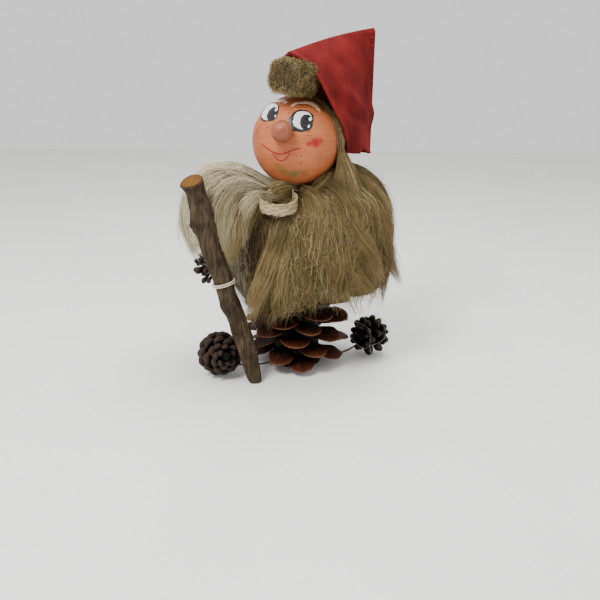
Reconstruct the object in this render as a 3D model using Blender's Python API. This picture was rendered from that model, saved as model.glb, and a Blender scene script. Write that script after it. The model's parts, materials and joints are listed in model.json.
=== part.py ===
"""Pine-cone gnome: a large pine cone stands as the body, small cones are feet and hands, a turned
wooden ball is the head, and a felt hood and long fur dress it. Metres, +Z up, the figure's feet on z = 0.
The origin is the middle of the sawn face that the body cone stands on. The viewer's side is -Y.
"""

import math

import bmesh
import bpy
from mathutils import Matrix, Vector

MM = 0.001
FIT_GAP = 0.35 * MM  # between pieces that touch
WIRE_GAP = 0.5 * MM  # round a wire in its hole

# Body cone: a core with rows of scales, sawn flat below and above.
BODY_HEIGHT = 146 * MM
BODY_RADIUS = 47.5 * MM
BODY_BASE_RADIUS = 21 * MM
BODY_TOP_RADIUS = 9.5 * MM
BODY_ROWS = 10
BODY_SCALES_PER_ROW = 10
BODY_FIRST_ROW = 10 * MM
BODY_SCALE_THICK = 2.6 * MM



def beside(x, y, z):
    """A place beside the body, in millimetres on a body 95 wide and 146 tall. It moves with the body's sizes."""
    wide, tall = BODY_RADIUS / 47.5, BODY_HEIGHT / 146
    return Vector((x * wide, y * wide, z * tall))


# Neck: a dowel glued in the body cone. The head turns on it.
NECK_RADIUS = 5 * MM
NECK_SHOWS = 11 * MM  # between the body cone and the head
NECK_ROOT = Vector((0.4 * MM, 2 * MM, BODY_HEIGHT - 27 * MM))
NECK_IN_HEAD = 24 * MM
NECK_CLEARANCE = 0.3 * MM

# Head: a turned ball, with a nose on a peg of its own.
HEAD_RADIUS = 35 * MM
HEAD_CENTRE = Vector((-1.5 * MM, -10 * MM, BODY_HEIGHT + NECK_SHOWS + HEAD_RADIUS))
FACE_TURN = math.radians(17)  # towards -X
FACE_LIFT = math.radians(15)
NOSE_RADIUS = 8.6 * MM
NOSE_REACH = 5.2 * MM  # the nose ball's centre above the head's surface
NOSE_PEG_RADIUS = 3 * MM
NOSE_PEG_DEPTH = 12 * MM

# Hood of felt, in a frame at the head's centre: back along the ridge, side towards the viewer, up.
HOOD_YAW = math.radians(34.7)
HOOD_FELT = 1.8 * MM
HOOD_HALF_SLIT = 0.5 * MM
HOOD_ROOM = 1.02 * HEAD_RADIUS  # half the opening's widest, over the hair
HOOD_TIP_BACK = 75 * MM
HOOD_TIP_UP = 84 * MM
HOOD_NAPE_UP = -14 * MM
HOOD_COLUMNS = 7

# Hair under the hood, and the fringe over the brow.
HAIR_THICK = 2.0 * MM
HAIR_HANG = 28 * MM
HAIR_FROM, HAIR_TO = math.radians(-45), math.radians(112)
FRINGE_RADII = (16 * MM, 14.5 * MM, 14.5 * MM)
FRINGE_LIFT = 1.12 * FRINGE_RADII[2]  # of its centre above the ball
FRINGE_CENTRE = HEAD_CENTRE + Vector((-7, -21, 49)).normalized() * (HEAD_RADIUS + FRINGE_LIFT)

# Wires, string and strip.
ARM_WIRE_RADIUS = 1.25 * MM
LEG_WIRE_RADIUS = 0.9 * MM
TIE_RADIUS = 0.55 * MM
FOOT_TIE_RADIUS = 0.45 * MM
STRIP_THICK = 1.1 * MM
STRIP_HEIGHT = 9 * MM

STAFF_RADIUS = 7.7 * MM  # at the tie

# Small cones: centre, radius, and the way that the open end faces. A larger foot keeps its inner side, and the
# right one stays clear of the staff.
FOOT_R_RADIUS = 19.4 * MM
FOOT_R_CENTRE = (
    beside(-37.3, -44.29, 0) + STAFF_RADIUS * Vector((-0.9, 0.3, 0)) + FOOT_R_RADIUS * Vector((-1.06, 0.36, 1.04))
)
FOOT_R_AXIS = Vector((0.42, -0.88, 0.2))
FOOT_L_RADIUS = 18.5 * MM
FOOT_L_CENTRE = beside(47.7, 6.6, 0) + FOOT_L_RADIUS * Vector((0.99, 0.13, 1.04))
FOOT_L_AXIS = Vector((-0.55, -0.75, 0.2))
HAND_R_RADIUS = 15 * MM
HAND_R_WAY = Vector((-0.707, 0.662, 0.25)).normalized()  # from the wire at the tie to the hand
HAND_R_AXIS = Vector((-0.72, 0.55, 0.5))
HAND_L_CENTRE = beside(68, -5, 82)
HAND_L_RADIUS = 12 * MM
HAND_L_AXIS = Vector((0.1, -0.1, -1.0))
HAND_ROOM = 1.6 * MM  # fur stays this clear of a hand

# Staff: a twig that leans outwards, with two knots and a flared top. A string ties it to the arm's wire.
STAFF_FOOT = beside(-35, -47.5, 0) + Vector((0, 0, 0.8 * MM))
STAFF_LENGTH = 174 * MM
STAFF_LEAN = math.radians(15.4)
# Share of the way up the staff, how far its line strays aside in millimetres, and its radius as a share.
STAFF_STATIONS = (
    (0, 0.4, 0.71), (0.023, 0.3, 0.79), (0.08, 1.0, 0.9), (0.155, 1.7, 0.98), (0.27, 1.5, 1.03), (0.35, 1.2, 0.96),
    (0.40, -0.6, 1.09), (0.445, -0.4, 0.94), (0.48, 0, 0.97), (0.54, 0, 1), (0.6, -0.4, 1.04), (0.67, -1.2, 1.04),
    (0.745, -0.6, 1.09), (0.805, -1.4, 1.26), (0.86, 0.5, 1.07), (0.94, 0.6, 0.98), (0.977, 0.2, 1.14),
    (0.994, 0, 1.2), (1, 0, 1.13),
)
TIE_HEIGHT = beside(0, 0, 86).z
TIE_REACH = STAFF_RADIUS + 7 * MM  # from the staff's axis back to the wire
TIE_PITCH = 1.6 * MM
TIE_TURNS = 2


def material(name, colour, roughness=0.8, metallic=0.0):
    """A plain Principled BSDF of one colour."""
    made = bpy.data.materials.new(name)
    made.use_nodes = True
    shader = made.node_tree.nodes["Principled BSDF"]
    shader.inputs["Base Color"].default_value = (*colour, 1)
    shader.inputs["Roughness"].default_value = roughness
    shader.inputs["Metallic"].default_value = metallic
    return made


def make_object(name, mesh_or_curve, finish=None):
    """Links an object. One without a finish is a cutter, which the model leaves out."""
    obj = bpy.data.objects.new(name, mesh_or_curve)
    bpy.context.scene.collection.objects.link(obj)
    if finish is None:
        obj.hide_render = True
        obj.display_type = "WIRE"
    else:
        obj.data.materials.append(finish)
    return obj


def object_of(name, points, faces, finish=None, smooth_below=40):
    """An object from points and faces, its normals turned outwards."""
    mesh = bpy.data.meshes.new(name)
    mesh.from_pydata([tuple(p) for p in points], [], faces)
    shape = bmesh.new()
    shape.from_mesh(mesh)
    bmesh.ops.recalc_face_normals(shape, faces=shape.faces)
    shape.to_mesh(mesh)
    shape.free()
    mesh.shade_smooth()
    mesh.set_sharp_from_angle(angle=math.radians(smooth_below))
    return make_object(name, mesh, finish)


def cut(obj, cutter):
    """Cuts one object with another."""
    made = obj.modifiers.new("cut_" + cutter.name, "BOOLEAN")
    made.operation = "DIFFERENCE"
    made.object = cutter
    return made


def smooth_path(points, steps):
    """Points on a Catmull-Rom curve through the given ones."""
    ends = [2 * points[0] - points[1], *points, 2 * points[-1] - points[-2]]
    path = []
    for a, b, c, d in zip(ends, ends[1:], ends[2:], ends[3:]):
        for i in range(steps):
            t = i / steps
            path.append(
                0.5 * ((2 * b) + (c - a) * t + (2 * a - 5 * b + 4 * c - d) * t**2
                       + (3 * b - a - 3 * c + d) * t**3)
            )
    return [*path, points[-1]]


def tube(name, path, radius, finish=None, resolution=1, closed=False):
    """A round wire or string along a path. A cutter is made a mesh, because a Boolean takes no curve."""
    curve = bpy.data.curves.new(name, "CURVE")
    curve.dimensions = "3D"
    curve.bevel_depth = radius
    curve.bevel_resolution = resolution
    curve.use_fill_caps = not closed
    spline = curve.splines.new("POLY")
    spline.points.add(len(path) - 1)
    spline.use_cyclic_u = closed
    for point, place in zip(spline.points, path):
        point.co = (*place, 1)
    if finish is not None:
        return make_object(name, curve, finish)
    holder = bpy.data.objects.new(name + "_line", curve)
    mesh = bpy.data.meshes.new_from_object(holder)
    bpy.data.objects.remove(holder)
    shape = bmesh.new()
    shape.from_mesh(mesh)
    bmesh.ops.remove_doubles(shape, verts=shape.verts, dist=0.01 * MM)
    bmesh.ops.recalc_face_normals(shape, faces=shape.faces)
    shape.to_mesh(mesh)
    shape.free()
    return make_object(name, mesh)


def held_point():
    """Where the arm's wire runs along the staff, behind it, at the tie."""
    return staff_point(tie_along()) + Vector((0, TIE_REACH, 0))


def right_hand():
    """The right hand's centre. Its scales clear the wire beside the staff."""
    return held_point() + HAND_R_WAY * (HAND_R_RADIUS + ARM_WIRE_RADIUS + 1.7 * MM)


def arm_route():
    """The arms' wire: from the right hand forward to the tie, over the shoulder, through the body, and down."""
    held, along, hand = held_point(), staff_direction(), right_hand()
    stops = [hand + HAND_R_WAY * 0.45 * HAND_R_RADIUS, hand - HAND_R_WAY * 0.45 * HAND_R_RADIUS]
    stops.append(hand.lerp(held, 0.75) - Vector((0, 0, 7 * MM)))
    stops += [held - along * 3 * MM, held + along * 4 * MM, held + along * 13 * MM + Vector((1, 3, 0)) * MM]
    for place in (
        (-58, -27, 112), (-66, -23, 131), (-69.5, -19, 150), (-62, -14, 160), (-46, -8, 154), (-26, -2, 131),
        (-10, 1.5, 114), (0, 2, 111.5), (10, 2.5, 114), (26, 3, 130), (44, 3, 145), (59, 2, 146), (68, 0, 132),
        (69, -3, 108),
    ):
        stops.append(beside(*place))
    return smooth_path([*stops, HAND_L_CENTRE + Vector((0, 0, 2 * MM))], 2)


def run_on(path, more):
    """The path with both ends a little longer, for the hole that it lies in."""
    first, last = (path[0] - path[1]).normalized(), (path[-1] - path[-2]).normalized()
    return [path[0] + first * more, *path[1:-1], path[-1] + last * more]


def leg_route():
    """The feet's wire: through the body cone's base, and up into each foot."""
    stops = [FOOT_R_CENTRE, FOOT_R_CENTRE * 0.84]
    for x, y, z in ((-40, -24, 3.6), (-20, -14, 3.2), (0, -8, 3.2), (20, -3, 3.2), (40, 2, 4.5)):
        stops.append(Vector((beside(x, y, 0).x, beside(x, y, 0).y, z * MM)))
    stops += [FOOT_L_CENTRE * 0.82, FOOT_L_CENTRE]
    stops[1].z = stops[-2].z = 9.5 * MM
    return smooth_path(stops, 2)


def ball(name, centre, radii, segments, rings, finish=None):
    """A sphere or an ellipsoid."""
    shape = bmesh.new()
    bmesh.ops.create_uvsphere(shape, u_segments=segments, v_segments=rings, radius=1)
    bmesh.ops.transform(shape, matrix=Matrix.Diagonal((*radii, 1)), verts=shape.verts)
    bmesh.ops.translate(shape, vec=centre, verts=shape.verts)
    mesh = bpy.data.meshes.new(name)
    shape.to_mesh(mesh)
    shape.free()
    mesh.shade_smooth()
    return make_object(name, mesh, finish)


def turned(name, profile, start, direction, segments, finish=None):
    """A solid of revolution: profile holds (radius, distance along direction), and both ends are closed."""
    turn = direction.to_track_quat("Z", "Y").to_matrix()
    points = []
    for radius, along in profile:
        for k in range(segments):
            angle = 2 * math.pi * k / segments
            points.append(start + turn @ Vector((radius * math.cos(angle), radius * math.sin(angle), along)))
    faces = [tuple(range(segments)), tuple(range(len(points) - segments, len(points)))]
    for row in range(len(profile) - 1):
        for k in range(segments):
            a, b = row * segments + k, row * segments + (k + 1) % segments
            faces.append((a, b, b + segments, a + segments))
    return object_of(name, points, faces, finish)


def body_tip_radius(z):
    """How far the body cone's scales reach from its axis at a height."""
    t = max(0.0, min(1.0, z / BODY_HEIGHT))
    return BODY_TOP_RADIUS + (BODY_RADIUS - BODY_TOP_RADIUS) * math.sin(math.pi * (0.30 + 0.66 * t)) ** 0.9


def body_core_radius(z):
    """The body cone's core under its scales."""
    t = max(0.0, min(1.0, z / BODY_HEIGHT))
    return BODY_BASE_RADIUS + (BODY_TOP_RADIUS - BODY_BASE_RADIUS) * t


def scale_sections(root, outward, up, reach, width, thick):
    """The three cross sections of one scale, from its claw to its round tip, each of four corners."""
    across = outward.cross(up).normalized()
    for share, wide, high in ((0.4, 0.62, 1.0), (0.8, 1.0, 0.9), (1.0, 0.55, 0.55)):
        middle = root + outward * reach * share
        half, rise = across * width * wide / 2, up * thick * high / 2
        yield (middle - half - rise, middle + half - rise, middle + half + rise, middle - half + rise)


def pine_cone(name, height, rows, per_row, first, last, core, tip, lift, thick, finish):
    """A cone on +Z: a core of rows and columns of cells, every other cell drawn out into a scale.

    core and tip give the radius at a height, lift the scales' angle above level at a share of the height.
    """
    columns = 2 * per_row
    pitch = (last - first) / (rows - 1)
    levels = [0.0, *[first + pitch * (row - 0.5) for row in range(rows + 1)], height]
    points = []
    for z in levels:
        for k in range(columns):
            angle = 2 * math.pi * k / columns
            points.append(Vector((core(z) * math.cos(angle), core(z) * math.sin(angle), z)))
    faces = [tuple(range(columns)), tuple(range(len(points) - columns, len(points)))]
    for level in range(len(levels) - 1):
        for k in range(columns):
            a, b = level * columns + k, level * columns + (k + 1) % columns
            cell = (a, b, b + columns, a + columns)
            row = level - 1
            if not 0 <= row < rows or (k + row) % 2:
                faces.append(cell)
                continue
            angle = 2 * math.pi * (k + 0.5) / columns
            z = first + pitch * row
            tilt = lift((z - first) / (last - first))
            flat = Vector((math.cos(angle), math.sin(angle), 0))
            outward = flat * math.cos(tilt) + Vector((0, 0, math.sin(tilt)))
            up = outward.cross(Vector((-math.sin(angle), math.cos(angle), 0)))
            up = up if up.z > 0 else -up
            root = flat * core(z) + Vector((0, 0, z))
            reach = tip(z) - core(z)
            for _ in range(12):
                # The scale ends where its line meets the cone's outline.
                reach = (reach + (tip(z + reach * math.sin(tilt)) - core(z)) / math.cos(tilt)) / 2
            width = 1.74 * math.pi * tip(z + reach * math.sin(tilt)) / per_row
            ring = cell
            for section in scale_sections(root, outward, up, reach, width, thick):
                start = len(points)
                # The section's corners run as the cell's do: low left, low right, high right, high left.
                points.extend((section[1], section[0], section[3], section[2]))
                fresh = tuple(range(start, start + 4))
                for side in range(4):
                    faces.append((ring[side], ring[(side + 1) % 4], fresh[(side + 1) % 4], fresh[side]))
                ring = fresh
            faces.append(ring)
    return object_of(name, points, faces, finish)


def body_cone(finish):
    """The large cone that is the body. Its lowest scales droop, and its upper ones stand up."""
    return pine_cone(
        "body_cone", BODY_HEIGHT, BODY_ROWS, BODY_SCALES_PER_ROW, BODY_FIRST_ROW + 6 * MM, BODY_HEIGHT - 10 * MM,
        body_core_radius, body_tip_radius, lambda t: math.radians(-16 + 52 * t), BODY_SCALE_THICK, finish,
    )


def small_cone(name, centre, radius, axis, spread, finish):
    """A foot or a hand: a round cone whose scales fan out from its middle."""
    length = 1.7 * radius
    core = 0.34 * radius

    def core_radius(z):
        return core * math.sin(math.pi * (0.16 + 0.68 * z / length))

    def tip_radius(z):
        return math.sqrt(max(radius**2 - (z - length / 2) ** 2, (0.3 * radius) ** 2))

    made = pine_cone(
        name, length, 4, 6, 0.2 * length, 0.8 * length, core_radius, tip_radius,
        lambda t: math.radians(-spread + 2 * spread * t), 0.13 * radius, finish,
    )
    turn = axis.normalized().to_track_quat("Z", "Y").to_matrix().to_4x4()
    made.data.transform(Matrix.Translation(centre) @ turn @ Matrix.Translation((0, 0, -length / 2)))
    return made


def neck_direction():
    """Along the dowel, from the body cone up to the head's centre."""
    return (HEAD_CENTRE - NECK_ROOT).normalized()


def neck(finish, body):
    """The neck dowel, and the blind hole for it in the body cone."""
    direction = neck_direction()
    length = (HEAD_CENTRE - NECK_ROOT).length - HEAD_RADIUS + NECK_IN_HEAD
    chamfer = 1 * MM
    profile = (
        (NECK_RADIUS - chamfer, 0), (NECK_RADIUS, chamfer), (NECK_RADIUS, length - chamfer),
        (NECK_RADIUS - chamfer, length),
    )
    turned("neck_dowel", profile, NECK_ROOT, direction, 16, finish)
    bore = NECK_RADIUS + FIT_GAP
    hole = turned("neck_hole", ((bore, -FIT_GAP), (bore, length)), NECK_ROOT, direction, 16)
    cut(body, hole)


def face_direction():
    """The way that the nose points."""
    level = math.cos(FACE_LIFT)
    return Vector((-math.sin(FACE_TURN) * level, -math.cos(FACE_TURN) * level, math.sin(FACE_LIFT)))


def head(finish, nose_finish):
    """The head ball with the neck's hole and the nose's hole, and the nose on its peg."""
    made = ball("head_ball", HEAD_CENTRE, (HEAD_RADIUS,) * 3, 32, 20, finish)
    direction = neck_direction()
    bore = NECK_RADIUS + NECK_CLEARANCE
    depth = -HEAD_RADIUS + NECK_IN_HEAD + 2 * MM
    cut(made, turned("head_hole", ((bore, -HEAD_RADIUS - 5 * MM), (bore, depth)), HEAD_CENTRE, direction, 16))
    forward = face_direction()
    bore = NOSE_PEG_RADIUS + FIT_GAP
    hole = ((bore, HEAD_RADIUS - NOSE_PEG_DEPTH - FIT_GAP), (bore, HEAD_RADIUS + 5 * MM))
    cut(made, turned("nose_hole", hole, HEAD_CENTRE, forward, 14))
    centre = HEAD_RADIUS + NOSE_REACH
    profile = [(NOSE_PEG_RADIUS, HEAD_RADIUS - NOSE_PEG_DEPTH), (NOSE_PEG_RADIUS, HEAD_RADIUS + FIT_GAP + 0.1 * MM)]
    for step in range(1, 8):
        # The ball's underside is left out where it would sink into the head.
        angle = math.radians(-38 + 16.5 * step)
        profile.append((NOSE_RADIUS * math.cos(angle), centre + NOSE_RADIUS * math.sin(angle)))
    profile.append((0.8 * MM, centre + NOSE_RADIUS))
    nose = turned("nose", profile, HEAD_CENTRE, forward, 14, nose_finish)
    cut(nose, hollow_ball_cutter("nose_seat"))


def hollow_ball_cutter(name, extra=FIT_GAP):
    """The head ball grown by a gap, with a hole on the face's axis that leaves the nose's peg whole."""
    made = ball(name, HEAD_CENTRE, (HEAD_RADIUS + extra,) * 3, 32, 20)
    bore = NOSE_PEG_RADIUS + 2 * FIT_GAP
    hole = ((bore, 0), (bore, HEAD_RADIUS + 5 * MM))
    cut(made, turned(name + "_peg_room", hole, HEAD_CENTRE, face_direction(), 14))
    return made


def hood_frame(back, side, up):
    """A point of the hood's frame in the figure's own."""
    along = Vector((math.cos(HOOD_YAW), math.sin(HOOD_YAW), 0))
    across = Vector((math.sin(HOOD_YAW), -math.cos(HOOD_YAW), 0))
    return HEAD_CENTRE + along * back + across * side + Vector((0, 0, up))


def hood_front_edge(v, far):
    """The opening's edge from its lower corner, v = 0, to the ridge, v = 1. The far side hugs the head."""
    # v, then back, side and up as shares of the room at the opening.
    stops = (
        (0, 0.807, 0.742, -0.224), (0.25, 0.56, 0.952, 0.252), (0.5, 0.168, 1.0, 0.812),
        (0.75, -0.168, 0.868, 1.373), (0.92, -0.336, 0.448, 1.736), (1, -0.336, 0, 1.876),
    )
    for low, high in zip(stops, stops[1:]):
        if v <= high[0]:
            t = (v - low[0]) / (high[0] - low[0])
            back, side, up = (low[i] + (high[i] - low[i]) * t for i in (1, 2, 3))
            narrow = 1 - 0.3 * max(0.0, v - 0.25) if far else 1
            return Vector((back, side * narrow, up)) * HOOD_ROOM
    return None


def hood_point(u, v, far):
    """A point of the felt's inside: u from the opening, 0, to the back seam, 1, and v from hem to ridge."""
    nape = Vector((HOOD_TIP_BACK, 0, HOOD_NAPE_UP))
    tip = Vector((HOOD_TIP_BACK, 0, HOOD_TIP_UP))
    seam = nape.lerp(tip, v)
    front = hood_front_edge(v, far)
    corner, peak = hood_front_edge(0, far), hood_front_edge(1, far)
    hem = corner.lerp(nape, u) + Vector((0, 5 * MM * math.sin(math.pi * u), 0))
    ridge = peak.lerp(tip, u) + Vector((0, 0, 5.5 * MM * math.sin(math.pi * u)))
    corners = (corner.lerp(nape, u)).lerp(peak.lerp(tip, u), v)
    point = front.lerp(seam, u) + hem.lerp(ridge, v) - corners
    point.y = max(0.0, point.y) + HOOD_HALF_SLIT * (1 if v < 1 else 0)
    return point


def hood(finish):
    """The felt hood: one folded sheet with a ridge on top and a seam down the back, open below and in front."""
    shares = (0, 0.25, 0.5, 0.75, 0.92)
    across = [(v, False) for v in shares] + [(1, False)] + [(v, True) for v in reversed(shares)]
    points, layers = [], []
    for grow in (0, HOOD_FELT):
        layer = []
        for column in range(HOOD_COLUMNS + 1):
            u = column / HOOD_COLUMNS
            row = []
            for v, far in across:
                inner = hood_point(u, v, far)
                side = -1 if far else 1
                lift = grow * max(0.0, (v - 0.6) / 0.4)
                aside = grow * (1 if v < 1 else 0)
                row.append(len(points))
                points.append(hood_frame(inner.x + grow * (column == HOOD_COLUMNS), side * (inner.y + aside), inner.z + lift))
            layer.append(row)
        layers.append(layer)
    inner, outer = layers
    last = len(across) - 1
    faces = []
    for column in range(HOOD_COLUMNS):
        for k in range(last):
            for layer in layers:
                faces.append((layer[column][k], layer[column + 1][k], layer[column + 1][k + 1], layer[column][k + 1]))
        for k in (0, last):
            faces.append((inner[column][k], inner[column + 1][k], outer[column + 1][k], outer[column][k]))
    for k in range(last):
        faces.append((inner[0][k], inner[0][k + 1], outer[0][k + 1], outer[0][k]))
    middle = last // 2
    for layer in layers:
        edge = layer[HOOD_COLUMNS]
        for k in range(middle - 1):
            faces.append((edge[k], edge[k + 1], edge[last - k - 1], edge[last - k]))
        faces.append((edge[middle - 1], edge[middle], edge[middle + 1]))
    end_in, end_out = inner[HOOD_COLUMNS], outer[HOOD_COLUMNS]
    faces.append((end_in[0], end_out[0], end_out[last], end_in[last]))
    object_of("hood", points, faces, finish, smooth_below=50)


def loft(name, rows, finish, smooth_below=50):
    """Joins closed outlines, each with the same count of points, into a solid with flat ends."""
    count = len(rows[0])
    points = [p for row in rows for p in row]
    faces = [tuple(range(count)), tuple(range(len(points) - count, len(points)))]
    for row in range(len(rows) - 1):
        for k in range(count):
            a, b = row * count + k, row * count + (k + 1) % count
            faces.append((a, b, b + count, a + count))
    return object_of(name, points, faces, finish, smooth_below)


def hair(finish):
    """The hair patch on the head's side and back. It hangs a little below the ball."""
    steps = 14
    rise = math.radians(12)
    # Flat facets lie nearer the ball than their corners do, so the corners stand out a little more.
    inner = (HEAD_RADIUS + FIT_GAP) / math.cos((HAIR_TO - HAIR_FROM) / steps / 2) / math.cos(rise / 2)
    outer = inner + HAIR_THICK
    climb = [rise * step for step in range(5)]
    rows = []
    for step in range(steps + 1):
        angle = HAIR_FROM + (HAIR_TO - HAIR_FROM) * step / steps
        flat = Vector((math.cos(angle), math.sin(angle), 0))
        profile = [(outer * math.cos(e), outer * math.sin(e)) for e in reversed(climb)]
        profile += [(outer, -HAIR_HANG), (inner, -HAIR_HANG)]
        profile += [(inner * math.cos(e), inner * math.sin(e)) for e in climb]
        rows.append([HEAD_CENTRE + flat * r + Vector((0, 0, z)) for r, z in profile])
    loft("hair", rows, finish)


def fringe(finish):
    """The clipped fur that stands over the brow, seated on the ball."""
    made = ball("fringe", FRINGE_CENTRE, FRINGE_RADII, 16, 10, finish)
    cut(made, ball("fringe_seat", HEAD_CENTRE, (HEAD_RADIUS + 2 * FIT_GAP,) * 3, 32, 20))


# The fur mantle, in polar form round the body's axis. Each row is an angle in degrees, then in
# millimetres the ridge's radius and height, the widest radius and its height, and the hem's radius
# and height.
MANTLE = {
    "beard": (
        (232, 30, 144, 52, 112, 50, 60), (245, 29, 139, 55, 105, 55, 56), (260, 29, 138, 57, 104, 57, 60),
        (275, 29, 140, 58, 104, 58, 61), (290, 30, 144, 60, 108, 59, 66), (304, 32, 148, 63, 112, 60, 68),
    ),
    "fur_sleeve_left": (
        (305, 34, 148, 64, 112, 60, 68), (318, 40, 150, 71, 116, 65, 62), (332, 48, 153, 79, 118, 72, 57),
        (346, 54, 155, 85, 112, 84, 60), (358, 58, 156, 90, 100, 90, 68), (372, 56, 156, 88, 108, 80, 66),
        (386, 48, 154, 78, 112, 70, 68), (398, 42, 153, 68, 114, 62, 70),
    ),
    "fur_back": (
        (399, 42, 155, 67, 114, 61, 70), (415, 36, 154, 60, 112, 56, 66), (432, 33, 153, 57, 110, 54, 62),
        (450, 32, 153, 56, 110, 53, 60), (468, 33, 154, 57, 112, 54, 64), (486, 36, 156, 60, 116, 56, 70),
        (503, 42, 160, 66, 122, 58, 80),
    ),
    "fur_sleeve_right": (
        (144, 42, 160, 67, 124, 59, 82), (156, 50, 167, 80, 132, 70, 92), (168, 58, 172, 92, 138, 82, 98),
        (180, 62, 175, 96, 140, 88, 100), (191, 62, 176, 94, 140, 87, 99), (202, 56, 172, 81, 138, 78, 97),
        (213, 46, 162, 68, 130, 65, 98), (222, 36, 150, 59, 120, 56, 98), (231, 31, 145, 53, 114, 51, 90),
    ),
}
MANTLE_CLEARANCE = 1.6 * MM


def mantle_profile(row):
    """One upright cross section of the mantle: over the ridge, down the outside, and up along the cone."""
    angle = math.radians(row[0])
    wide, tall = beside(1, 0, 1).x, beside(1, 0, 1).z
    ridge_r, wide_r, hem_r = (x * wide for x in row[1::2])
    ridge_z, wide_z, hem_z = (x * tall for x in row[2::2])
    neck_z = min(ridge_z - 6 * MM, BODY_HEIGHT)

    def wall(z):
        return body_tip_radius(z) + MANTLE_CLEARANCE

    outline = [
        (max(wall(neck_z), 15 * MM) + 3 * MM, neck_z + 2 * MM),
        (ridge_r * 0.72, ridge_z - 0.35 * (ridge_z - neck_z)),
        (ridge_r, ridge_z),
        (ridge_r + 0.6 * (wide_r - ridge_r), ridge_z - 0.22 * (ridge_z - wide_z)),
        (wide_r, wide_z),
        ((wide_r + hem_r) / 2, (wide_z + hem_z) / 2),
        (hem_r, hem_z),
        (max(wall(hem_z + 2 * MM), hem_r - 16 * MM), hem_z + 2 * MM),
    ]
    for share in (0.25, 0.5, 0.75, 1):
        z = hem_z + 2 * MM + (neck_z - hem_z - 2 * MM) * share
        outline.append((wall(z), z))
    flat = Vector((math.cos(angle), math.sin(angle), 0))
    return [flat * r + Vector((0, 0, z)) for r, z in outline]


def mantle(finishes, arm_path):
    """The beard, the two sleeves and the back of the fur, with room for the arms' wire and the hands."""
    parts = {}
    for name, table in MANTLE.items():
        parts[name] = loft(name, [mantle_profile(row) for row in table], finishes[name])
    channel = tube("arm_channel", run_on(arm_path, WIRE_GAP), ARM_WIRE_RADIUS + WIRE_GAP, resolution=1)
    for side, centre, radius in (("right", right_hand(), HAND_R_RADIUS), ("left", HAND_L_CENTRE, HAND_L_RADIUS)):
        sleeve = parts["fur_sleeve_" + side]
        room = radius + HAND_ROOM
        cut(sleeve, ball("hand_room_" + side, centre, (room,) * 3, 20, 12))
        shaft = ((room * 0.9, 0), (room * 0.9, 60 * MM))
        cut(sleeve, turned("hand_mouth_" + side, shaft, centre, Vector((0, 0, -1)), 20))
        cut(sleeve, channel)
    return channel


def staff_direction():
    """Up the staff."""
    return Vector((-math.sin(STAFF_LEAN), 0, math.cos(STAFF_LEAN)))


def staff_point(along):
    """A point on the staff's straight axis."""
    return STAFF_FOOT + staff_direction() * along


def tie_along():
    """How far up the staff the tie is."""
    return (TIE_HEIGHT - STAFF_FOOT.z) / math.cos(STAFF_LEAN)


def staff_shape(share):
    """How far the staff's line strays aside, and its radius, at a share of the way up."""
    for low, high in zip(STAFF_STATIONS, STAFF_STATIONS[1:]):
        if share <= high[0]:
            t = (share - low[0]) / (high[0] - low[0])
            return (low[1] + (high[1] - low[1]) * t) * MM, (low[2] + (high[2] - low[2]) * t) * STAFF_RADIUS
    return STAFF_STATIONS[-1][1] * MM, STAFF_STATIONS[-1][2] * STAFF_RADIUS


def staff(finish):
    """The twig: its line wavers about its axis, and knots and a flared top change its thickness."""
    up = staff_direction()
    aside = Vector((up.z, 0, -up.x))
    rows = []
    for share, _, _ in STAFF_STATIONS:
        stray, radius = staff_shape(share)
        middle = staff_point(share * STAFF_LENGTH) + aside * stray
        # The foot is sawn level, so that it stands flat.
        across = aside if share else Vector((1, 0, 0))
        rows.append([
            middle + (across * math.cos(a) + Vector((0, 1, 0)) * math.sin(a)) * radius
            for a in (2 * math.pi * k / 12 for k in range(12))
        ])
    loft("staff", rows, finish)


def staff_tie(finish):
    """Two turns of string round the staff and the arm's wire behind it."""
    stray, radius = staff_shape(tie_along() / STAFF_LENGTH)
    staff_r = radius + TIE_RADIUS + 0.8 * MM
    wire_r = ARM_WIRE_RADIUS + TIE_RADIUS + 1.1 * MM
    up = staff_direction()
    aside = Vector((up.z, 0, -up.x))
    middle = staff_point(tie_along())
    # The tangent lines of the two circles leave them at this angle.
    lean = math.asin((staff_r - wire_r) / TIE_REACH)
    outline = []
    for step in range(11):
        angle = -lean + (math.pi + 2 * lean) * step / 10
        outline.append(Vector((math.cos(angle) * staff_r, -math.sin(angle) * staff_r)))
    for step in range(5):
        angle = math.pi + lean + (math.pi - 2 * lean) * step / 4
        outline.append(Vector((math.cos(angle) * wire_r, TIE_REACH - math.sin(angle) * wire_r)))
    count = len(outline)
    start = count - 3
    path = []
    for step in range(TIE_TURNS * count + 1):
        place = outline[(start + step) % count]
        rise = TIE_PITCH * (step / count - TIE_TURNS / 2)
        across = place.x + stray * (1 - place.y / TIE_REACH)
        path.append(middle + aside * across + Vector((0, 1, 0)) * place.y + up * rise)
    tube("staff_tie", path, TIE_RADIUS, finish)


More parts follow.
